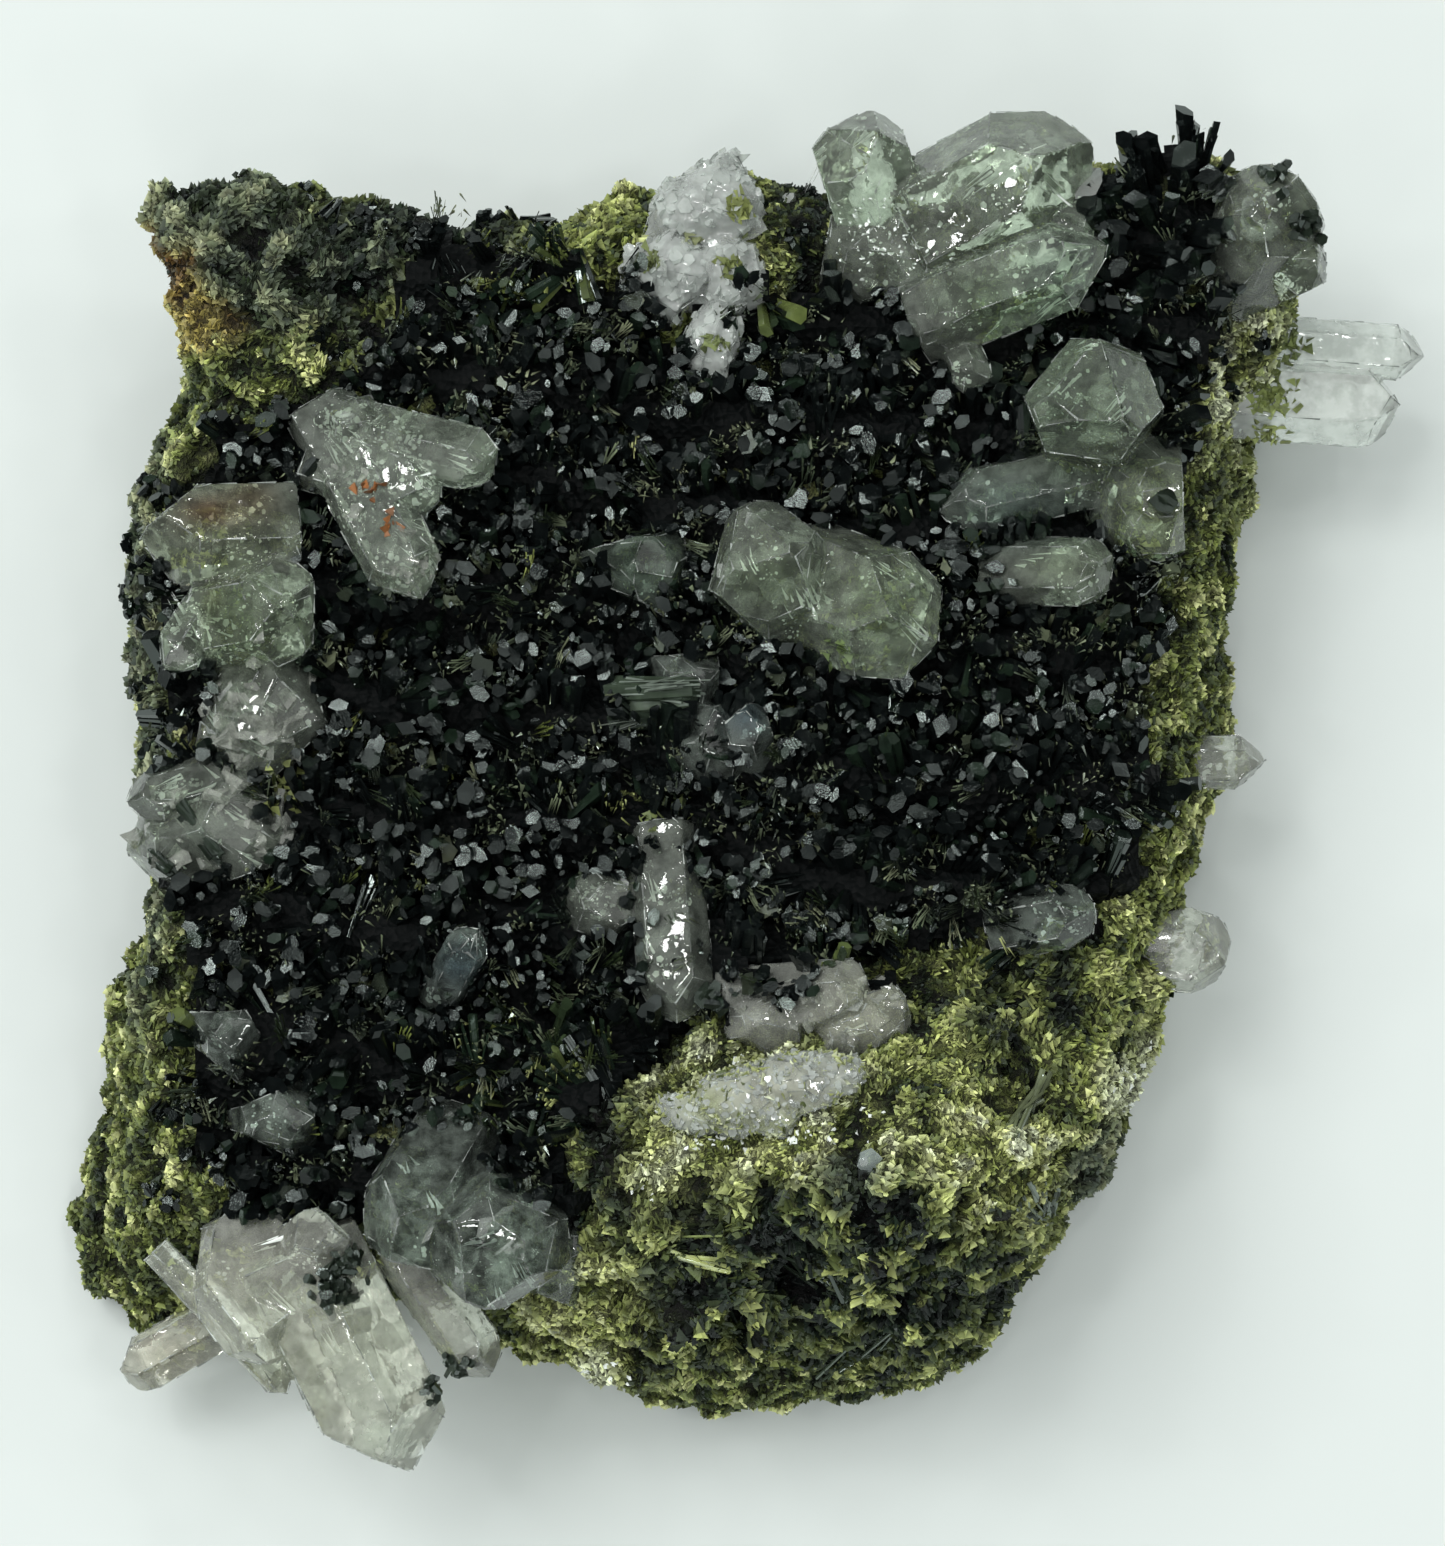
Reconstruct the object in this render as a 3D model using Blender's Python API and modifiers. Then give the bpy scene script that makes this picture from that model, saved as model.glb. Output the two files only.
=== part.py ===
"""Epidote crystal cluster: a slab of granular epidote rock, the druse of dark epidote prisms that grew
over its top, and the quartz crystals that stand in the druse. Metres, +Z up. The origin is on the
table, under the middle of the slab, and +Y is towards the back edge. Every length in the lists and
constants below is in millimetres."""

import math
import random

import bmesh
import bpy
from mathutils import Matrix, Vector, noise

MM = 0.001

# The slab: its height, its flat foot, and the lumps and ledges of its broken faces
SLAB_TOP = 25.0
FLAT_FOOT = 1.2
VOXEL = 2.4
MATRIX_FACES = 1900
LUMP_PITCH = 5.5
GRAIN_PITCH = 2.9
TOP_LUMPS = 1.7
WALL_LUMPS = 1.4
LEDGE_DEPTH = 1.1
LEDGE_WAVE = 0.9
RIM_DROP = 2.2
RIM_ROUNDING = 2.5
RIM = [
    (-52.5, 56.5), (-46, 58.5), (-35.5, 56), (-28, 54.5), (-15, 55), (-6.5, 57.5), (4, 58.5), (12, 57.5),
    (21, 55.5), (34, 58), (43, 61), (51, 57), (54.5, 50), (54.5, 44), (49.5, 38.5), (45.5, 33),
    (43.5, 26), (43, 16), (43, 7), (41.5, -2), (40, -9.5), (38.5, -16), (35.5, -25), (32, -32),
    (28, -38.5), (25, -46), (20, -51.5), (12, -54.5), (2, -55.5), (-7.5, -54), (-15, -50.5), (-23, -46.5),
    (-31, -45), (-40, -45.5), (-48, -43), (-51.5, -36.5), (-52, -27), (-51.5, -18), (-51, -11), (-52, -2),
    (-53, 7), (-54.5, 16), (-55, 23), (-52.5, 32), (-50, 38), (-52.5, 45), (-54, 51),
]
FOOT = [
    (-49, 50), (-37, 51.5), (-16, 51), (4, 52), (21, 50), (37, 51), (47, 50), (53, 45), (54, 37),
    (52.5, 30), (51, 20), (51, 9), (49.5, 2), (46.5, -3.5), (44.5, -11.5), (44, -19.5), (40.5, -25.5),
    (39, -33), (33, -40), (28, -46), (25, -52), (19, -55), (9, -57), (-3, -57), (-11.5, -55),
    (-19, -51.5), (-28, -47), (-39, -47.5), (-48.5, -50), (-58, -50.5), (-63.5, -46.5), (-64.5, -40),
    (-61, -30), (-59, -19), (-56, -11), (-55.5, -4.5), (-56.5, 3), (-57, 13), (-57.5, 21), (-56, 28),
    (-52.5, 38), (-51, 43), (-51.5, 48),
]

# Swellings and hollows of the slab's top: middle x, y, half widths along x and y, rise
SWELLINGS = [
    (9.5, -37.0, 21.0, 15.5, 11.0),
    (20.0, -33.0, 10.0, 9.0, 3.0),
    (-9.0, -40.0, 8.0, 9.0, 2.5),
    (10.0, -56.0, 30.0, 7.5, -13.0),
    (-44.0, 47.0, 13.0, 12.0, 4.5),
    (43.0, 53.0, 12.0, 10.0, 5.0),
    (0.0, 50.0, 14.0, 7.0, 3.0),
    (-46.0, -36.0, 17.0, 17.0, -4.0),
    (47.0, -10.0, 8.0, 45.0, -4.0),
    (-12.0, -24.0, 9.0, 7.0, -2.5),
    (12.0, 8.0, 26.0, 16.0, 1.5),
]

# The druse: its outline, the low ridges that it lies in, and the gap that it keeps to rock and quartz
RIDGE_RISE = 1.0
RIDGE_PITCH = 10.5
DRUSE_OUTLINE = [
    (-51, 28), (-50, 33), (-43, 35), (-36, 35.5), (-30, 37), (-30.5, 45), (-28.5, 51.5), (-20.5, 52),
    (-15, 48), (-9, 43), (-3, 40), (4.5, 42), (6.5, 46.5), (12, 48.5), (25, 47.5), (33.5, 51), (36, 57),
    (44, 58.5), (50, 54.5), (52, 47.5), (50.5, 43), (45, 39.5), (42.5, 34), (41.5, 26), (41.5, 15),
    (41, 6), (39, -3), (37.5, -10), (33, -14.5), (24.5, -16), (10.5, -17), (2, -18.5), (-2, -23),
    (-9, -27.5), (-13, -33), (-15, -40), (-22, -43.5), (-30, -43), (-38, -41.5), (-46, -38.5),
    (-48.5, -31), (-48, -20.5), (-49, -10), (-50, -1), (-51.5, 12), (-52, 20),
]
DRUSE_THICKNESS = 2.2
DRUSE_ROOT = 14.0
DRUSE_VOXEL = 3.2
DRUSE_FACES = 420
GAP = 0.35
ROCK_GAP = 0.5

# Epidote prisms of the druse: spacing, length, width, lean from upright in degrees, and how deep they start
PRISM_SPACING = 7.2
ROW_SPACING = 0.87 * PRISM_SPACING
PRISM_JITTER = 0.25 * PRISM_SPACING
PRISM_LENGTH = (5.6, 8.2)
PRISM_WIDTH = (2.3, 3.9)
PRISM_LEAN = 34.0
PRISM_ROOT = 2.4
PRISM_TAPER = 0.92
END_SLANT = 0.55

# Green blades on the bare rock: how many are tried, middle x, y and spread along x and y of each patch
BLADE_PATCHES = [(44, (10.0, -38.0), (11.4, 7.2)), (24, (-3.0, 48.0), (26.4, 4.2))]
BLADE_LENGTH = (5.5, 8.0)
BLADE_WIDTH = (2.8, 4.8)
BLADE_THICKNESS = 0.45
BLADE_LEAN = 40.0
BLADE_ROOT = 2.6
BLADE_EDGE = 4.5

# Quartz: a rhombohedron face leans this far from the crystal's axis
QUARTZ_FACE_TILT = math.radians(51.8)
BLOCK = 90.0

# Colours, as red, green, blue
ROCK_GREEN = (0.20, 0.22, 0.07)
EPIDOTE_DARK = (0.012, 0.020, 0.014)
QUARTZ_CLEAR = (0.72, 0.76, 0.72)
QUARTZ_SMOKY = (0.16, 0.20, 0.18)
QUARTZ_WHITE = (0.74, 0.76, 0.72)


def clear_scene():
    for obj in list(bpy.data.objects):
        bpy.data.objects.remove(obj, do_unlink=True)


def new_collection(name):
    collection = bpy.data.collections.new(name)
    bpy.context.scene.collection.children.link(collection)
    return collection


def finish_material(name, colour, roughness, transmission=0.0):
    material = bpy.data.materials.new(name)
    material.use_nodes = True
    shader = material.node_tree.nodes["Principled BSDF"]
    shader.inputs["Base Color"].default_value = (*colour, 1.0)
    shader.inputs["Roughness"].default_value = roughness
    shader.inputs["Metallic"].default_value = 0.0
    shader.inputs["Transmission Weight"].default_value = transmission
    return material


def object_from(bm, name, collection, material=None):
    """Turns a bmesh drawn in millimetres into an object in metres."""
    bmesh.ops.scale(bm, vec=(MM, MM, MM), verts=bm.verts)
    mesh = bpy.data.meshes.new(name)
    bm.to_mesh(mesh)
    bm.free()
    obj = bpy.data.objects.new(name, mesh)
    collection.objects.link(obj)
    if material:
        mesh.materials.append(material)
    return obj


def settle(obj):
    """Applies the object's modifiers and keeps only its largest body, with flat faces in triangles."""
    graph = bpy.context.evaluated_depsgraph_get()
    mesh = bpy.data.meshes.new_from_object(obj.evaluated_get(graph))
    obj.modifiers.clear()
    old = obj.data
    obj.data = mesh
    bpy.data.meshes.remove(old)
    bm = bmesh.new()
    bm.from_mesh(mesh)
    bodies = connected_bodies(bm)
    largest = max(bodies, key=len)
    strays = [vert for body in bodies if body is not largest for vert in body]
    bmesh.ops.delete(bm, geom=strays, context="VERTS")
    bmesh.ops.triangulate(bm, faces=bm.faces)
    bm.to_mesh(mesh)
    bm.free()
    return obj


def connected_bodies(bm):
    """The bmesh's vertices, as one list for each connected body."""
    unseen = set(bm.verts)
    bodies = []
    while unseen:
        edge_of_search = [unseen.pop()]
        body = []
        while edge_of_search:
            vert = edge_of_search.pop()
            body.append(vert)
            for edge in vert.link_edges:
                other = edge.other_vert(vert)
                if other in unseen:
                    unseen.remove(other)
                    edge_of_search.append(other)
        bodies.append(body)
    return bodies


def combine(obj, other, operation, overlaps_itself=False):
    """Joins or cuts one mesh by another, at once."""
    modifier = obj.modifiers.new(operation.title(), "BOOLEAN")
    modifier.object = other
    modifier.operation = operation
    modifier.solver = "EXACT"
    modifier.use_self = overlaps_itself
    return settle(obj)


def as_cutter(obj):
    obj.hide_render = True
    obj.display_type = "WIRE"
    return obj


# The slab's own shape

def reach_table(outline):
    """The outline as (angle, distance from the origin), sorted by angle, closed at both ends."""
    polar = sorted((math.atan2(y, x), math.hypot(x, y)) for x, y in outline)
    first, last = polar[0], polar[-1]
    return [(last[0] - math.tau, last[1]), *polar, (first[0] + math.tau, first[1])]


def reach(table, angle):
    """How far the outline lies from the origin in this direction."""
    for (a0, r0), (a1, r1) in zip(table, table[1:]):
        if a0 <= angle <= a1:
            return r0 + (r1 - r0) * (angle - a0) / max(a1 - a0, 1e-6)
    return table[-1][1]


def rock_height(x, y):
    """Height of the slab's top at a place, without its fine roughness."""
    height = SLAB_TOP
    for cx, cy, wx, wy, rise in SWELLINGS:
        height += rise * math.exp(-(((x - cx) / wx) ** 2) - ((y - cy) / wy) ** 2)
    return height


def druse_height(x, y):
    """Height of the crust that the prisms stand on, which lies in low ridges from side to side."""
    sway = 2.0 * noise.noise(Vector((x * 0.03, y * 0.05, 3.0)))
    ridges = RIDGE_RISE * math.sin(math.tau * (y + 0.12 * x) / RIDGE_PITCH + sway)
    return rock_height(x, y) + DRUSE_THICKNESS + ridges


def roughness_at(point, pitch):
    """Lumps about one pitch across, from -1 to 1, with sharp creases between them."""
    place = point / pitch
    return 0.6 * noise.noise(place) + 0.4 * (1.0 - 2.0 * noise.voronoi(place)[0][0])


def inside(outline, x, y):
    """Whether a place lies inside a closed outline."""
    crossings = 0
    for (x0, y0), (x1, y1) in zip(outline, outline[1:] + outline[:1]):
        if (y0 > y) != (y1 > y) and x < x0 + (x1 - x0) * (y - y0) / (y1 - y0):
            crossings += 1
    return crossings % 2 == 1


def outline_slab(name, outline, low, high, voxel, collection):
    """A flat outline extruded from low to high and remeshed, so that its faces are small and even."""
    curve = bpy.data.curves.new(name, "CURVE")
    curve.dimensions = "2D"
    curve.fill_mode = "BOTH"
    curve.extrude = (high - low) / 2 * MM
    spline = curve.splines.new("POLY")
    spline.points.add(len(outline) - 1)
    for point, (x, y) in zip(spline.points, outline):
        point.co = (x * MM, y * MM, 0.0, 1.0)
    spline.use_cyclic_u = True
    flat = bpy.data.objects.new(name + "_outline", curve)
    flat.location.z = (high + low) / 2 * MM
    collection.objects.link(flat)
    bpy.context.view_layer.update()
    graph = bpy.context.evaluated_depsgraph_get()
    mesh = bpy.data.meshes.new_from_object(flat.evaluated_get(graph))
    mesh.transform(flat.matrix_world)
    bpy.data.objects.remove(flat)
    bm = bmesh.new()
    bm.from_mesh(mesh)
    bmesh.ops.remove_doubles(bm, verts=bm.verts, dist=0.01 * MM)
    bm.to_mesh(mesh)
    bm.free()
    slab = bpy.data.objects.new(name, mesh)
    collection.objects.link(slab)
    remesh = slab.modifiers.new("Even faces", "REMESH")
    remesh.mode = "VOXEL"
    remesh.voxel_size = voxel * MM
    return settle(slab)


def thin_out(obj, faces):
    """Merges the faces of smooth stretches until about this many triangles are left."""
    decimate = obj.modifiers.new("Fewer faces", "DECIMATE")
    decimate.ratio = min(1.0, faces / len(obj.data.polygons))
    return settle(obj)


def matrix_slab(collection, material):
    """The rock: walls from the foot's outline to the rim's, a swelling top and a flat foot to stand on."""
    rim, foot = reach_table(RIM), reach_table(FOOT)
    slab = outline_slab("matrix", RIM, 0.0, SLAB_TOP, VOXEL, collection)
    for vert in slab.data.vertices:
        x, y, z = vert.co / MM
        share = min(1.0, max(0.0, z / SLAB_TOP))
        angle = math.atan2(y, x)
        from_middle = math.hypot(x, y)
        from_edge = max(0.0, reach(rim, angle) - from_middle)
        spread = share + (1.0 - share) * reach(foot, angle) / reach(rim, angle)
        rough = roughness_at(Vector((x, y, z)), LUMP_PITCH)
        rough += 0.5 * roughness_at(Vector((x, y, z)), GRAIN_PITCH)
        if from_edge < 0.8 * VOXEL and z > FLAT_FOOT:
            sway = 3.0 * noise.noise(Vector((x, y, 0.0)) * 0.06)
            ledge = LEDGE_DEPTH * math.sin(z * LEDGE_WAVE + sway)
            spread *= 1.0 + (WALL_LUMPS * rough + ledge) / from_middle
        height = share * rock_height(x, y)
        if share > 0.9 and not inside(DRUSE_OUTLINE, x, y):
            height += TOP_LUMPS * rough - RIM_DROP * math.exp(-from_edge / RIM_ROUNDING)
        if z < FLAT_FOOT:
            height = 0.0
        vert.co = Vector((x * spread, y * spread, height)) * MM
    thin_out(slab, MATRIX_FACES)
    for vert in slab.data.vertices:
        if vert.co.z < 0.5 * FLAT_FOOT * MM:
            vert.co.z = 0.0
    slab.data.materials.append(material)
    return slab


# Prisms and blades of epidote

def add_prism(bm, root, direction, length, width, depth, turn, wedge):
    """A five-sided prism with a slanting end face, drawn in millimetres from its root along a direction."""
    radius = 0.5 * width
    made = bmesh.ops.create_cone(
        bm, cap_ends=True, segments=5, radius1=radius, radius2=radius * PRISM_TAPER, depth=length
    )
    aim = direction.to_track_quat("Z", "Y").to_matrix().to_4x4()
    for vert in made["verts"]:
        if vert.co.z > 0.0:
            vert.co.z += wedge * vert.co.x
        vert.co.y *= depth / width
        vert.co.z += length / 2
    place = Matrix.Translation(root) @ aim @ Matrix.Rotation(turn, 4, "Z")
    bmesh.ops.transform(bm, matrix=place, verts=made["verts"])


def leaning(rng, lean, toward=None):
    """A direction near +Z, leaning by up to lean degrees, and towards a side if one is given."""
    angle = rng.uniform(0.0, math.tau)
    amount = math.tan(math.radians(lean) * math.sqrt(rng.random()))
    direction = Vector((math.cos(angle) * amount, math.sin(angle) * amount, 1.0))
    if toward:
        direction += toward
    return direction.normalized()


def prism_sites(rng):
    """Places for the druse's prisms: a jittered triangular grid inside its outline."""
    low_x, low_y = (min(place[k] for place in DRUSE_OUTLINE) for k in (0, 1))
    high_x, high_y = (max(place[k] for place in DRUSE_OUTLINE) for k in (0, 1))
    for row in range(int((high_y - low_y) / ROW_SPACING) + 1):
        for column in range(int((high_x - low_x) / PRISM_SPACING) + 1):
            x = low_x + (column + 0.5 * (row % 2)) * PRISM_SPACING
            x += rng.uniform(-PRISM_JITTER, PRISM_JITTER)
            y = low_y + row * ROW_SPACING + rng.uniform(-PRISM_JITTER, PRISM_JITTER)
            if inside(DRUSE_OUTLINE, x, y):
                yield x, y


def druse_prisms(cutters, quartz):
    """All the druse's large prisms in one mesh, leaving out those that would stand in a quartz crystal."""
    rng = random.Random(11)
    bm = bmesh.new()
    for x, y in prism_sites(rng):
        root = Vector((x, y, druse_height(x, y) - PRISM_ROOT))
        direction = leaning(rng, PRISM_LEAN)
        length = rng.uniform(*PRISM_LENGTH)
        width = rng.uniform(*PRISM_WIDTH)
        depth = width * rng.uniform(0.6, 0.95)
        turn = rng.uniform(0.0, math.pi)
        wedge = rng.uniform(-END_SLANT, END_SLANT)
        axis_points = [root + direction * length * share for share in (0.3, 0.7, 1.0)]
        if any(stands_in(quartz, point, 0.62 * width) for point in axis_points):
            continue
        add_prism(bm, root, direction, length, width, depth, turn, wedge)
    return as_cutter(object_from(bm, "druse_prisms", cutters))


def rock_blades(cutters, quartz):
    """Short blades of green epidote on the hump and the back shelf. They fan out from each middle."""
    rng = random.Random(5)
    rim = reach_table(RIM)
    bm = bmesh.new()
    for tries, middle, spread in BLADE_PATCHES:
        for _ in range(tries):
            x = rng.gauss(middle[0], spread[0])
            y = rng.gauss(middle[1], spread[1])
            outwards = Vector((x - middle[0], y - middle[1], 0.0)) / 40.0
            direction = leaning(rng, BLADE_LEAN, outwards)
            length = rng.uniform(*BLADE_LENGTH)
            width = rng.uniform(*BLADE_WIDTH)
            turn = rng.uniform(0.0, math.pi)
            wedge = rng.uniform(-END_SLANT, END_SLANT)
            root = Vector((x, y, rock_height(x, y) - BLADE_ROOT))
            tip = root + direction * length
            from_edge = reach(rim, math.atan2(y, x)) - math.hypot(x, y)
            if inside(DRUSE_OUTLINE, x, y) or from_edge < BLADE_EDGE:
                continue
            if stands_in(quartz, tip, width) or stands_in(quartz, root, width):
                continue
            add_prism(bm, root, direction, length, width, BLADE_THICKNESS * width, turn, wedge)
    return as_cutter(object_from(bm, "rock_blades", cutters))


def grown(obj, cutters):
    """A copy of an object that is larger all round by the rock's gap, to cut its neighbours with."""
    copy = bpy.data.objects.new(obj.name + "_grown", obj.data.copy())
    normals = [vert.normal.copy() for vert in copy.data.vertices]
    for vert, normal in zip(copy.data.vertices, normals):
        vert.co += normal * ROCK_GAP * MM
    cutters.objects.link(copy)
    return as_cutter(copy)


def druse_sheet(collection, material):
    """The crust that the prisms stand on. It reaches down into the rock, which is cut from it later."""
    low = SLAB_TOP - DRUSE_ROOT
    sheet = outline_slab("epidote_druse", DRUSE_OUTLINE, low, SLAB_TOP, DRUSE_VOXEL, collection)
    for vert in sheet.data.vertices:
        x, y, z = vert.co / MM
        if z > SLAB_TOP - 0.8 * DRUSE_VOXEL:
            vert.co.z = druse_height(x, y) * MM
        else:
            vert.co.z = min(z, SLAB_TOP - 0.6 * DRUSE_ROOT) * MM
    thin_out(sheet, DRUSE_FACES)
    sheet.data.materials.append(material)
    return sheet


# Quartz: each piece is a list of planes, as (point, outward normal), that bound one convex block

def crystal(root, tip, width, depth, roll=0.0, end="point", uneven=0.25, seed=1):
    """A quartz prism from root to tip: six sides, then six rhombohedron faces that close its end."""
    rng = random.Random(seed)
    root, tip = Vector(root), Vector(tip)
    axis = (tip - root).normalized()
    side = axis.cross(Vector((0.0, 0.0, 1.0)))
    side = side.normalized() if side.length > 0.1 else Vector((1.0, 0.0, 0.0))
    up = side.cross(axis).normalized()
    planes = [(root, -axis)]
    for k in range(6):
        angle = math.radians(roll + 60.0 * k)
        outward = side * math.cos(angle) + up * math.sin(angle)
        half = 0.5 * (width * math.cos(angle) ** 2 + depth * math.sin(angle) ** 2)
        half *= rng.uniform(1.0 - 0.25 * uneven, 1.0 + 0.25 * uneven)
        planes.append((root + outward * half, outward))
        slanted = outward * math.sin(QUARTZ_FACE_TILT) + axis * math.cos(QUARTZ_FACE_TILT)
        recess = {"point": (0.0, 0.28), "chisel": (0.0, 0.9), "blunt": (0.35, 0.7)}[end][k % 2]
        recess = (recess + rng.uniform(0.0, uneven)) * 0.5 * min(width, depth)
        planes.append((tip + outward * recess, slanted))
    if end == "blunt":
        planes.append((tip, (axis + side * 0.15).normalized()))
    return planes, (root + tip) / 2


def lump(centre, size, sides=10, seed=1):
    """A rough-grown block of quartz: flat facets over the upper half of an ellipsoid, and a flat root."""
    rng = random.Random(seed)
    centre, half = Vector(centre), Vector(size) / 2
    planes = [(centre - Vector((0.0, 0.0, half.z)), Vector((0.0, 0.0, -1.0)))]
    for k in range(sides):
        z = 1.0 - 1.15 * (k + 0.5) / sides
        angle = k * 2.39996 + rng.uniform(-0.35, 0.35)
        ring = math.sqrt(1.0 - z * z)
        normal = Vector((ring * math.cos(angle), ring * math.sin(angle), z))
        support = math.sqrt(sum((n * h) ** 2 for n, h in zip(normal, half)))
        planes.append((centre + normal * support * rng.uniform(0.82, 1.0), normal))
    return planes, centre


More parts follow.
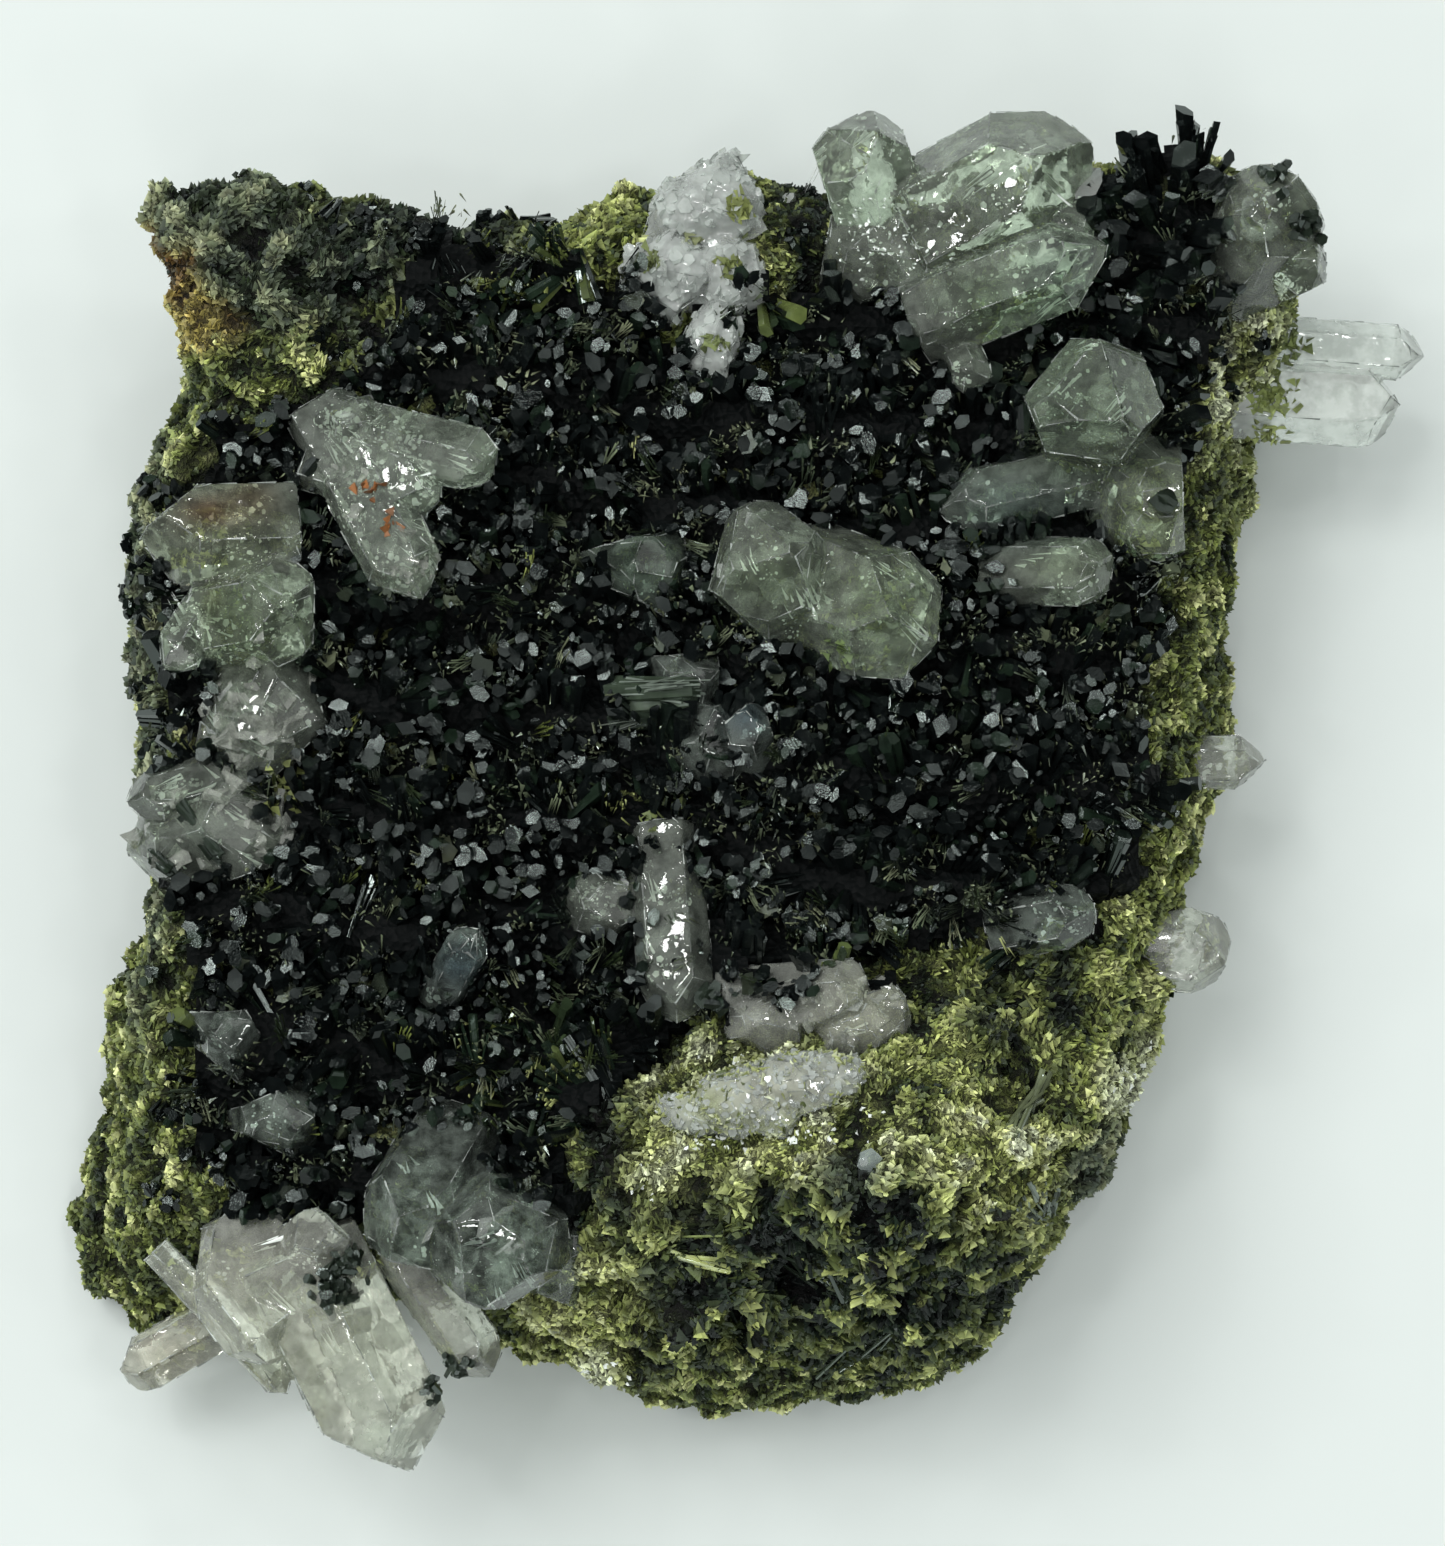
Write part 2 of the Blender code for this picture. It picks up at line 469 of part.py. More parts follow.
QUARTZ = {
    "quartz_centre_pair": [
        crystal((7.5, 15.5, 24), (2.5, 18.0, 37.5), 10.5, 9.5, roll=15, end="blunt", seed=3),
        crystal((6.5, 17.5, 27.5), (18.8, 11.0, 34.0), 11.4, 10.0, roll=28, end="chisel", seed=8),
    ],
    "quartz_back_left_blade": [
        crystal((-36.5, 33.5, 27.5), (-27.0, 15.5, 31.0), 8.2, 5.0, roll=20, end="blunt", seed=5),
        crystal((-33.0, 31.5, 28.0), (-20.8, 26.8, 32.5), 5.0, 4.2, roll=10, end="blunt", seed=9),
        lump((-32.0, 31.3, 28.5), (8.5, 7.0, 7.0), seed=2),
    ],
    "quartz_left_cluster": [
        crystal((-38.6, 22.0, 27.0), (-51.8, 21.0, 29.5), 8.6, 7.5, roll=12, end="chisel", seed=2),
        crystal((-46.0, 13.5, 27.0), (-37.2, 14.0, 32.0), 9.0, 7.5, roll=25, end="blunt", seed=4),
        crystal((-44.5, 18.0, 26.5), (-49.5, 8.8, 30.5), 4.2, 4.0, roll=0, end="point", seed=6),
        lump((-41.5, 5.0, 26.5), (11.0, 12.0, 9.5), sides=11, seed=7),
        crystal((-42.5, 0.5, 26.0), (-53.0, -3.2, 28.0), 4.6, 4.0, roll=30, end="chisel", seed=8),
        lump((-45.5, -5.0, 25.0), (14.5, 10.5, 8.0), sides=11, seed=12),
    ],
    "quartz_back_cluster": [
        crystal((16.0, 48.5, 24.0), (11.8, 58.6, 33.0), 8.8, 8.0, roll=10, end="blunt", seed=3),
        lump((15.0, 48.5, 27.5), (13.0, 8.0, 8.0), sides=11, seed=4),
        crystal((18.5, 50.5, 26.5), (32.6, 56.4, 34.0), 12.0, 11.0, roll=22, end="chisel", seed=11),
        crystal((22.0, 48.0, 25.0), (33.5, 50.0, 31.5), 5.5, 5.0, roll=0, end="blunt", seed=14),
        crystal((17.8, 42.0, 27.0), (34.0, 46.6, 33.5), 7.4, 7.0, roll=30, end="point", seed=5),
        lump((21.0, 45.5, 26.0), (8.0, 8.0, 7.0), seed=16),
        crystal((21.0, 41.5, 25.0), (23.0, 35.5, 29.5), 3.4, 3.4, roll=10, end="blunt", seed=6),
    ],
    "quartz_back_right_gem": [
        crystal((46.5, 46.5, 23.5), (51.8, 52.6, 35.5), 9.6, 8.4, roll=35, end="point", seed=4),
        crystal((51.0, 47.0, 24.0), (53.5, 46.0, 32.5), 5.0, 5.0, roll=10, end="point", seed=9),
    ],
    "quartz_far_right_pair": [
        crystal((45.0, 44.0, 15.0), (67.0, 43.0, 12.5), 4.6, 4.6, roll=10, end="point", seed=3),
        crystal((44.0, 38.5, 14.5), (64.0, 38.0, 11.5), 7.6, 6.6, roll=25, end="blunt", seed=7),
    ],
    "quartz_right_cluster": [
        crystal((34.5, 34.0, 23.0), (33.0, 31.8, 37.5), 11.0, 10.5, roll=5, end="blunt", uneven=0.35, seed=3),
        lump((38.5, 24.5, 27.5), (7.5, 12.5, 8.0), sides=11, seed=8),
        crystal((37.0, 28.5, 25.5), (20.0, 23.6, 29.0), 6.0, 5.0, roll=20, end="point", seed=5),
    ],
    "quartz_right_small": [
        crystal((24.3, 18.6, 26.0), (34.2, 17.2, 32.0), 5.4, 5.0, roll=25, end="blunt", seed=2),
    ],
    "quartz_small_centre": [
        lump((-7.0, 18.5, 27.5), (8.5, 6.5, 7.0), sides=9, seed=5),
    ],
    "quartz_centre_low": [
        crystal((3.2, 1.0, 25.0), (1.8, 4.6, 32.0), 4.0, 4.0, roll=5, end="point", seed=3),
        lump((-3.0, 8.2, 28.0), (6.0, 4.5, 6.0), sides=9, seed=8),
        lump((-1.0, 2.5, 26.5), (8.5, 8.5, 6.0), sides=9, seed=13),
    ],
    "quartz_front_blade": [
        crystal((-5.2, -5.0, 26.0), (-3.8, -22.5, 29.0), 6.2, 5.0, roll=25, end="chisel", seed=6),
        lump((-10.5, -12.0, 26.0), (7.0, 7.5, 6.0), sides=9, seed=9),
    ],
    "quartz_front_mass": [
        crystal((1.5, -21.0, 27.0), (12.5, -20.5, 31.5), 6.0, 5.0, roll=15, end="blunt", seed=4),
        lump((12.0, -23.0, 29.5), (8.0, 4.6, 5.0), sides=11, seed=6),
        lump((4.0, -22.8, 29.0), (7.5, 5.5, 5.5), sides=10, seed=3),
    ],
    "quartz_hump_patch": [
        lump((1.5, -30.2, 33.3), (8.0, 5.6, 4.0), sides=11, seed=5),
        lump((6.8, -29.0, 34.3), (8.0, 5.0, 4.2), sides=11, seed=8),
    ],
    "quartz_back_vein": [
        lump((-1.5, 52.0, 27.8), (10.5, 8.0, 7.0), sides=11, seed=3),
        lump((-5.0, 46.5, 27.5), (9.5, 7.0, 6.5), sides=11, seed=6),
        lump((0.8, 46.0, 27.5), (6.5, 8.5, 6.0), sides=11, seed=9),
        lump((-0.6, 40.0, 27.0), (4.6, 7.5, 6.0), sides=10, seed=12),
    ],
    "quartz_front_left_cluster": [
        crystal((-37.5, -42.0, 24.0), (-28.2, -61.0, 18.5), 11.0, 8.5, roll=8, end="chisel", seed=5),
        crystal((-40.5, -40.0, 21.0), (-41.5, -52.0, 25.0), 13.0, 5.5, roll=32, end="blunt", seed=4),
        crystal((-38.0, -43.5, 23.0), (-34.0, -41.0, 29.5), 5.5, 4.5, roll=10, end="chisel", seed=9),
        crystal((-29.5, -41.0, 21.0), (-20.5, -53.5, 20.5), 4.6, 5.5, roll=22, end="point", seed=3),
        crystal((-50.5, -42.5, 22.5), (-38.8, -54.8, 20.0), 2.6, 4.0, roll=0, end="point", seed=8),
    ],
    "quartz_front_left_under": [
        crystal((-43.0, -46.5, 10.0), (-55.0, -53.0, 8.0), 4.8, 4.4, roll=20, end="blunt", seed=4),
    ],
    "quartz_front_smoky": [
        crystal((-23.0, -32.0, 23.0), (-28.5, -43.5, 31.5), 9.5, 7.5, roll=18, end="chisel", seed=6),
        crystal((-20.5, -38.0, 22.0), (-19.5, -44.0, 34.0), 12.0, 10.0, 5, "blunt", uneven=0.4, seed=9),
        lump((-14.5, -42.5, 25.0), (7.0, 9.0, 8.5), sides=9, seed=2),
    ],
    "quartz_right_edge_low": [
        crystal((37.0, -13.5, 14.0), (46.6, -15.0, 14.0), 7.4, 6.0, roll=12, end="blunt", seed=3),
    ],
    "quartz_right_edge_tip": [
        crystal((43.5, 3.5, 12.5), (50.6, 3.5, 12.0), 4.6, 4.0, roll=12, end="point", seed=5),
    ],
    "quartz_right_sunken": [
        crystal((24.5, -14.0, 25.0), (33.0, -13.0, 30.0), 5.5, 4.5, roll=20, end="chisel", seed=7),
    ],
    "quartz_left_sunken_back": [
        lump((-44.3, -23.5, 25.0), (5.5, 5.0, 6.5), sides=9, seed=4),
    ],
    "quartz_left_sunken_front": [
        lump((-39.5, -31.0, 24.5), (7.0, 5.0, 6.5), sides=9, seed=6),
    ],
    "quartz_blue_spike": [
        crystal((-25.5, -20.5, 24.5), (-21.8, -15.0, 31.0), 3.4, 3.4, roll=10, end="point", seed=2),
    ],
}
SMOKY = ("small_centre", "centre_low", "smoky", "sunken", "spike")
WHITE = ("patch", "vein")


def hewn(piece, grow):
    """The convex block inside a piece's planes, each moved outwards by grow."""
    planes, middle = piece
    bm = bmesh.new()
    bmesh.ops.create_cube(bm, size=BLOCK, matrix=Matrix.Translation(middle))
    for point, normal in planes:
        everything = bm.verts[:] + bm.edges[:] + bm.faces[:]
        place = point + normal * grow
        bmesh.ops.bisect_plane(
            bm, geom=everything, dist=1e-4, plane_co=place, plane_no=normal, clear_outer=True
        )
        bmesh.ops.holes_fill(bm, edges=[edge for edge in bm.edges if edge.is_boundary], sides=0)
    bmesh.ops.recalc_face_normals(bm, faces=bm.faces)
    return bm


def set_origin(obj, place, parent):
    """Moves the object's origin to a place in millimetres, with its shape left where it is."""
    obj.data.transform(Matrix.Translation(-Vector(place) * MM))
    obj.location = Vector(place) * MM
    obj.parent = parent


def stands_in(quartz, point, margin):
    """Whether a point lies in a quartz piece, or nearer to it than the margin."""
    for pieces in quartz.values():
        for planes, _ in pieces:
            if all((point - place).dot(normal) < margin for place, normal in planes):
                return True
    return False


def quartz_group(name, pieces, grow, collection, spare):
    """One solid from a group's overlapping pieces."""
    group = object_from(hewn(pieces[0], grow), name, collection)
    for piece in pieces[1:]:
        block = object_from(hewn(piece, grow), name + "_block", spare)
        combine(group, block, "UNION")
        bpy.data.objects.remove(block)
    return settle(group)


def quartz_sockets(cutters):
    """Every quartz group, larger all round by the gap, as one cutter."""
    bm = bmesh.new()
    for name, pieces in QUARTZ.items():
        group = quartz_group(name + "_socket", pieces, GAP, cutters, cutters)
        bm.from_mesh(group.data)
        bpy.data.objects.remove(group)
    bmesh.ops.scale(bm, vec=(1 / MM, 1 / MM, 1 / MM), verts=bm.verts)
    return as_cutter(object_from(bm, "quartz_sockets", cutters))


def quartz_finish(name, finishes):
    if any(word in name for word in SMOKY):
        return finishes["smoky"]
    return finishes["white"] if any(word in name for word in WHITE) else finishes["clear"]


def build():
    clear_scene()
    cluster = new_collection("epidote_crystal_cluster")
    cutters = new_collection("cutters")
    rock = finish_material("green_epidote_rock", ROCK_GREEN, 0.85)
    dark = finish_material("dark_epidote", EPIDOTE_DARK, 0.22)
    finishes = {
        "clear": finish_material("clear_quartz", QUARTZ_CLEAR, 0.06, 0.9),
        "smoky": finish_material("smoky_quartz", QUARTZ_SMOKY, 0.08, 0.8),
        "white": finish_material("white_quartz", QUARTZ_WHITE, 0.35, 0.2),
    }
    middle = bpy.data.objects.new("cluster_middle", None)
    cluster.objects.link(middle)

    matrix = matrix_slab(cluster, rock)
    combine(matrix, rock_blades(cutters, QUARTZ), "UNION", overlaps_itself=True)
    grown_rock = grown(matrix, cutters)
    set_origin(matrix, (0.0, 0.0, 0.0), middle)

    druse = druse_sheet(cluster, dark)
    combine(druse, druse_prisms(cutters, QUARTZ), "UNION", overlaps_itself=True)
    combine(druse, grown_rock, "DIFFERENCE", overlaps_itself=True)
    combine(druse, quartz_sockets(cutters), "DIFFERENCE", overlaps_itself=True)
    set_origin(druse, (0.0, 0.0, SLAB_TOP), middle)

    for name, pieces in QUARTZ.items():
        group = quartz_group(name, pieces, 0.0, cluster, cutters)
        combine(group, grown_rock, "DIFFERENCE", overlaps_itself=True)
        group.data.materials.append(quartz_finish(name, finishes))
        set_origin(group, pieces[0][1], middle)


build()
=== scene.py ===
# %% [markdown]
# # An epidote crystal cluster
# The real object is a slab of green, granular epidote rock as wide as a hand. A carpet of black-green
# epidote crystals, a druse, grew over its top, and clear, milky and smoky quartz crystals stand in it.
# The solids of the CAD model give every place and size. This lesson dresses them, piece by piece, with
# the shapes and finishes that the eye sees: thousands of small crystals, the grain of the rock, and
# see-through quartz with its flaws.

import math
import random

import bpy
import numpy as np
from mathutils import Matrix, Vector, noise
from mathutils.bvhtree import BVHTree


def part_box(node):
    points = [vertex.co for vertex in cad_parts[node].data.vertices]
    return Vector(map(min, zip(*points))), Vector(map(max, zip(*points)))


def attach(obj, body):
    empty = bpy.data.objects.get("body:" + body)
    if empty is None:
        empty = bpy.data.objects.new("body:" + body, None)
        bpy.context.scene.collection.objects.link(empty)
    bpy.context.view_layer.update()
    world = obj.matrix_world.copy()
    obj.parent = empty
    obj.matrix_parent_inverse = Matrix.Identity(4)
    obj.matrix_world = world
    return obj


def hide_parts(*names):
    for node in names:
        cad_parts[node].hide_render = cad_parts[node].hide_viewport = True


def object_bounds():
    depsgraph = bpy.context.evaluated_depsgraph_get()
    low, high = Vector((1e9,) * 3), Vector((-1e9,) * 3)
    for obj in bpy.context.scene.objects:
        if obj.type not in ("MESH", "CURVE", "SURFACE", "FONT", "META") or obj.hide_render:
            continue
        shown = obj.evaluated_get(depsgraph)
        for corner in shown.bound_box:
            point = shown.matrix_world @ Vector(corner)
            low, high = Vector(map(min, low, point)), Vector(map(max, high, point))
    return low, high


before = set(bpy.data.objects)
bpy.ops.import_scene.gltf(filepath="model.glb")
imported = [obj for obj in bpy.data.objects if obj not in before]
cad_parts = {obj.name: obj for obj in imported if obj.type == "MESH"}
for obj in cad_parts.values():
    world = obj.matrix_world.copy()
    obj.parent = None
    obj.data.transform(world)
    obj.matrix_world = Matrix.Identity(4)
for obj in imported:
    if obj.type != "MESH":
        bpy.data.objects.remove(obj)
cad_low, cad_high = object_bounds()
MM = 0.001
print("the solids are", [round(side / MM, 1) for side in cad_high - cad_low], "mm along x, y and z")

# %% [markdown]
# ## Camera, table and light
# The photograph looks down on the cluster from just in front of straight above. A camera could be moved
# by hand until the outline fits, but a real distance and the size that one pixel covers say it exactly.
# They also give a helper that turns a pixel of the photograph into a direction, for placing small things.

# %% The camera
IMAGE_WIDTH, IMAGE_HEIGHT = 1445, 1546
LOOKS_AT = Vector((0.0, 0.0, 26.0)) * MM
DISTANCE = 340.0 * MM
ELEVATION = math.radians(80.0)
PIXEL = 0.09 * MM
SENSOR = 36.0

backwards = Vector((0.0, -math.cos(ELEVATION), math.sin(ELEVATION)))
focal_pixels = DISTANCE / PIXEL
eye = LOOKS_AT + backwards * DISTANCE
aim = backwards.to_track_quat("Z", "Y")
bpy.ops.object.camera_add(location=eye, rotation=aim.to_euler())
camera = bpy.context.object
camera.data.sensor_width = SENSOR
camera.data.lens = SENSOR * focal_pixels / IMAGE_HEIGHT
camera.data.clip_start = 10.0 * MM
bpy.context.scene.camera = camera
print("the lens is", round(camera.data.lens, 1), "mm")


# %% From pixels to places, and back
def ray_through(u, v):
    """The direction in which the camera sees a pixel of the 1445 x 1546 photograph."""
    across = (u - IMAGE_WIDTH / 2) / focal_pixels
    up = (IMAGE_HEIGHT / 2 - v) / focal_pixels
    return (aim @ Vector((across, up, -1.0))).normalized()


def pixels_of(points):
    """The pixels, as columns u and v, at which the camera sees points given in millimetres."""
    seen = (points - np.array(eye) / MM) @ np.array(aim.to_matrix())
    scale = -focal_pixels / seen[:, 2]
    return IMAGE_WIDTH / 2 + seen[:, 0] * scale, IMAGE_HEIGHT / 2 - seen[:, 1] * scale


# %% [markdown]
# The table is a plain, pale, matt sheet. A wide soft light from the upper left, brighter to its middle,
# gives the soft shadows, and dimmer ones at the right and in front fill them.
# Facets of epidote are small mirrors: they show grey where they reflect that light, and black elsewhere,
# so the dim surroundings light the table and the quartz but aren't mirrored. A ring of small lamps puts
# bright glints on the facets that happen to lean the right way.

# %% Table and lamps
TABLE_COLOUR = (0.598, 0.640, 0.622, 1.0)
TABLE_SIZE = 12.0
SURROUNDINGS = (0.42, 0.45, 0.44, 1.0)
LAMPS = {
    "soft_light": ((-0.85, 0.60, 1.55), 2.20, 5.8),
    "soft_light_middle": ((-0.85, 0.60, 1.55), 1.40, 13.0),
    "soft_light_core": ((-0.85, 0.60, 1.55), 0.85, 13.5),
    "right_light": ((0.95, 0.35, 1.45), 0.70, 1.4),
    "front_light": ((0.15, -1.15, 1.45), 0.60, 2.5),
    "low_light": ((-0.95, -0.75, 0.95), 0.60, 0.7),
}
GLINTS = 15
GLINT_AWAY = 1.25
GLINT_START = 15.0
GLINT_HEIGHTS = (44.0, 65.0, 54.0)
GLINT_SIZE = 0.085
GLINT_POWER = 0.55
for k in range(GLINTS):
    turn = math.radians(GLINT_START + 360.0 * k / GLINTS)
    height = math.radians(GLINT_HEIGHTS[k % len(GLINT_HEIGHTS)])
    spot = (math.cos(turn) * math.cos(height), math.sin(turn) * math.cos(height), math.sin(height))
    place = tuple(GLINT_AWAY * value for value in spot)
    LAMPS[f"glint_light_{k + 1}"] = (place, GLINT_SIZE, GLINT_POWER)

bpy.ops.object.select_all(action="DESELECT")
bpy.ops.mesh.primitive_plane_add(size=TABLE_SIZE)
table_top = bpy.context.object
table_top.name = "table_top"
table_finish = bpy.data.materials.new("matt_table")
table_finish.use_nodes = True
table_shader = table_finish.node_tree.nodes["Principled BSDF"]
table_shader.inputs["Base Color"].default_value = TABLE_COLOUR
table_shader.inputs["Roughness"].default_value = 0.6
table_shader.inputs["Specular IOR Level"].default_value = 0.2
table_top.data.materials.append(table_finish)

for name, (place, size, power) in LAMPS.items():
    bpy.ops.object.light_add(type="AREA", location=place)
    lamp = bpy.context.object
    lamp.name = name
    lamp.data.size = size
    lamp.data.energy = power
    lamp.rotation_euler = Vector(place).to_track_quat("Z", "Y").to_euler()

world = bpy.data.worlds.new("dim_studio")
world.use_nodes = True
world.node_tree.nodes["Background"].inputs["Color"].default_value = SURROUNDINGS
world.cycles_visibility.glossy = False
bpy.context.scene.world = world
bpy.context.scene.view_settings.view_transform = "Standard"
print(len(LAMPS), "lamps")


# %% [markdown]
# ## Finishes
# Every finish is built from nodes that read the place on the object itself, in metres, so it stays put
# when the view changes. Small helpers add a node and wire it in one line. Crystals that are copied by
# the thousand carry two attributes: a tint of their own, and the place along and across the crystal,
# which lets fine grooves run along each one whichever way it points.

# %% Helpers for node trees
PER_MM = 1.0 / MM


def node(tree, kind, settings=None, **inputs):
    """Adds a shader node. An input is a value or another node's output."""
    made = tree.nodes.new("ShaderNode" + kind)
    for name, value in (settings or {}).items():
        setattr(made, name, value)
    for name, value in inputs.items():
        socket = made.inputs[name.replace("_", " ")]
        if isinstance(value, bpy.types.NodeSocket):
            tree.links.new(value, socket)
        else:
            socket.default_value = value
    return made


def cloud(tree, place, size, detail=2.0, roughness=0.55):
    """Soft noise, from 0 to 1, with patches of about this size in millimetres."""
    made = node(tree, "TexNoise", Vector=place, Scale=PER_MM / size, Detail=detail, Roughness=roughness)
    return made.outputs["Fac"]


def spread(tree, value, low, high, to_low=0.0, to_high=1.0):
    """Stretches the range low to high of a value over another range."""
    made = node(tree, "MapRange", Value=value)
    for name, number in zip(("From Min", "From Max", "To Min", "To Max"), (low, high, to_low, to_high)):
        made.inputs[name].default_value = number
    return made.outputs["Result"]


def mix(tree, share, first, second, blend="MIX"):
    """A mix of two colours."""
    made = tree.nodes.new("ShaderNodeMix")
    made.data_type = "RGBA"
    made.blend_type = blend
    for socket, value in zip((made.inputs[0], made.inputs[6], made.inputs[7]), (share, first, second)):
        if isinstance(value, bpy.types.NodeSocket):
            tree.links.new(value, socket)
        else:
            socket.default_value = value if isinstance(value, float) else (*value, 1.0)
    return made.outputs[2]


def bump(tree, height, depth, strength=1.0, under=None):
    """Relief of this depth in millimetres, on top of another relief if one is given."""
    made = node(tree, "Bump", Height=height, Distance=depth * MM, Strength=strength)
    if under:
        tree.links.new(under, made.inputs["Normal"])
    return made.outputs["Normal"]


def attribute(tree, name):
    return node(tree, "Attribute", {"attribute_name": name})


def new_finish(name, **sockets):
    """A material whose plain values sit on the shader's own sockets."""
    material = bpy.data.materials.new(name)
    material.use_nodes = True
    shader = material.node_tree.nodes["Principled BSDF"]
    for socket, value in sockets.items():
        shader.inputs[socket.replace("_", " ")].default_value = value
    return material, material.node_tree, shader


# %% [markdown]
# Epidote is dense and glassy, with an IOR of 1.74, so that even black crystals flash. The dark crystals
# have fine grooves along them and slightly uneven gloss. The green grains of the rock are the same
# mineral in a sugary, dustier state: rougher, lighter, and mottled.

# %% Dark and green epidote
EPIDOTE_IOR = 1.74
EPIDOTE_GLANCE = (0.86, 1.0, 0.94, 1.0)


def epidote(name, gloss, groove_depth, mottle, sheen):
    """Epidote with the tint that each crystal carries, grooved along the crystal."""
    material, tree, shader = new_finish(
        name, IOR=EPIDOTE_IOR, Specular_IOR_Level=sheen, Specular_Tint=EPIDOTE_GLANCE
    )
    place = node(tree, "TexCoord").outputs["Object"]
    tint = attribute(tree, "tint").outputs["Color"]
    along = node(tree, "Mapping", Vector=attribute(tree, "grown").outputs["Vector"], Scale=(5.0, 5.0, 0.25))
    grooves = node(tree, "TexNoise", Vector=along.outputs["Vector"], Scale=1.3, Detail=2.5)
    patches = cloud(tree, place, 1.4)
    shade = spread(tree, patches, 0.3, 0.7, 1.0 - mottle, 1.0 + mottle)
    grey = node(tree, "CombineColor", Red=shade, Green=shade, Blue=shade).outputs["Color"]
    tree.links.new(mix(tree, 1.0, tint, grey, "MULTIPLY"), shader.inputs["Base Color"])
    shine = spread(tree, cloud(tree, place, 2.2, detail=1.0), 0.35, 0.65, *gloss)
    tree.links.new(shine, shader.inputs["Roughness"])
    tree.links.new(bump(tree, grooves.outputs["Fac"], groove_depth), shader.inputs["Normal"])
    return material


dark_epidote = epidote("dark_epidote_crystal", (0.02, 0.22), 0.014, 0.3, 0.5)
green_epidote = epidote("green_epidote_grain", (0.35, 0.60), 0.07, 0.35, 0.3)

# %% [markdown]
# The druse's crust lies in the shade between its crystals: almost black, and rough. The rock has one
# painted colour at each vertex, which the last part of the lesson works out: dark green to near black in
# hollows as painted shade, pistachio on crests, rust at one corner. The finish adds the speckle and grit
# that are finer than that, with painted shade in the grit's gaps and painted light on its ridges.

# %% Crust and rock
CRUST_BLACK = (0.003, 0.004, 0.004, 1.0)

crust_finish, tree, shader = new_finish("black_crust", Base_Color=CRUST_BLACK, Specular_IOR_Level=0.08)
place = node(tree, "TexCoord").outputs["Object"]
grit = node(tree, "TexVoronoi", Vector=place, Scale=PER_MM / 0.7).outputs["Distance"]
tree.links.new(bump(tree, grit, 0.3), shader.inputs["Normal"])
tree.links.new(spread(tree, cloud(tree, place, 1.5), 0.3, 0.7, 0.4, 0.7), shader.inputs["Roughness"])


def crumbs(tree, place, size):
    """A crisp pattern like crumbled moss: from 0 in gaps to 1 on ridges of about this width, for painted
    shade and light.
    """
    folds = node(
        tree, "TexNoise", Vector=place, Scale=PER_MM / size, Detail=3.0, Roughness=0.62, Distortion=1.2
    )
    away = node(tree, "Math", {"operation": "SUBTRACT"})
    tree.links.new(folds.outputs["Fac"], away.inputs[0])
    away.inputs[1].default_value = 0.5
    far = node(tree, "Math", {"operation": "ABSOLUTE"})
    tree.links.new(away.outputs["Value"], far.inputs[0])
    return spread(tree, far.outputs["Value"], 0.005, 0.085, 1.0, 0.0)


rock_finish, tree, shader = new_finish("epidote_rock", Specular_IOR_Level=0.35)
place = node(tree, "TexCoord").outputs["Object"]
coarse, fine = crumbs(tree, place, 2.4), crumbs(tree, place, 1.1)
height = node(tree, "Math", {"operation": "ADD"})
tree.links.new(coarse, height.inputs[0])
tree.links.new(fine, height.inputs[1])
height = height.outputs["Value"]
# Painted shade and painted light: the rock's tint is darkened in the gaps of the pattern and lightened on
# its ridges.
shade = spread(tree, height, 0.25, 1.6, 0.30, 2.1)
grey = node(tree, "CombineColor", Red=shade, Green=shade, Blue=shade).outputs["Color"]
colour = mix(tree, 1.0, attribute(tree, "tint").outputs["Color"], grey, "MULTIPLY")
tree.links.new(colour, shader.inputs["Base Color"])
tree.links.new(spread(tree, fine, 0.0, 1.0, 0.9, 0.5), shader.inputs["Roughness"])
tree.links.new(bump(tree, height, 0.35), shader.inputs["Normal"])

# %% [markdown]
# Quartz is see-through: transmission, an IOR of 1.544 and a faint absorption sit on plain sockets. The
# little that isn't transmitted is scattered, so a lower transmission gives milky quartz. A tint on each
# piece stains it where the photograph shows rust or green, and where it shows blue the tint is a painted
# blue reflection. The faces are never quite flat or evenly polished, so the gloss varies and a shallow
# relief breaks up what they mirror and refract.

# %% Quartz and its flaws
QUARTZ_IOR = 1.544


def quartz(name, colour, patchy, transmission, gloss, relief, soaks, density):
    """See-through quartz. patchy is how far haze darkens it, soaks what light keeps on its way through."""
    material, tree, shader = new_finish(name, IOR=QUARTZ_IOR, Transmission_Weight=transmission)
    place = node(tree, "TexCoord").outputs["Object"]
    haze = cloud(tree, place, 2.2, detail=3.5, roughness=0.65)
    dull = tuple((1.0 - patchy) * value for value in colour)
    mottled = mix(tree, spread(tree, haze, 0.40, 0.60), dull, colour)
    tinted_base = mix(tree, 1.0, mottled, attribute(tree, "tint").outputs["Color"], "MULTIPLY")
    tree.links.new(tinted_base, shader.inputs["Base Color"])
    tree.links.new(
        spread(tree, cloud(tree, place, 1.6, detail=1.0), 0.42, 0.72, *gloss), shader.inputs["Roughness"]
    )
    coarse = bump(tree, cloud(tree, place, 1.8, detail=1.0), 2.0 * relief)
    tree.links.new(bump(tree, cloud(tree, place, 0.6), 0.2 * relief, under=coarse), shader.inputs["Normal"])
    volume = node(tree, "VolumeAbsorption", Color=(*soaks, 1.0), Density=density)
    tree.links.new(volume.outputs["Volume"], tree.nodes["Material Output"].inputs["Volume"])
    return material


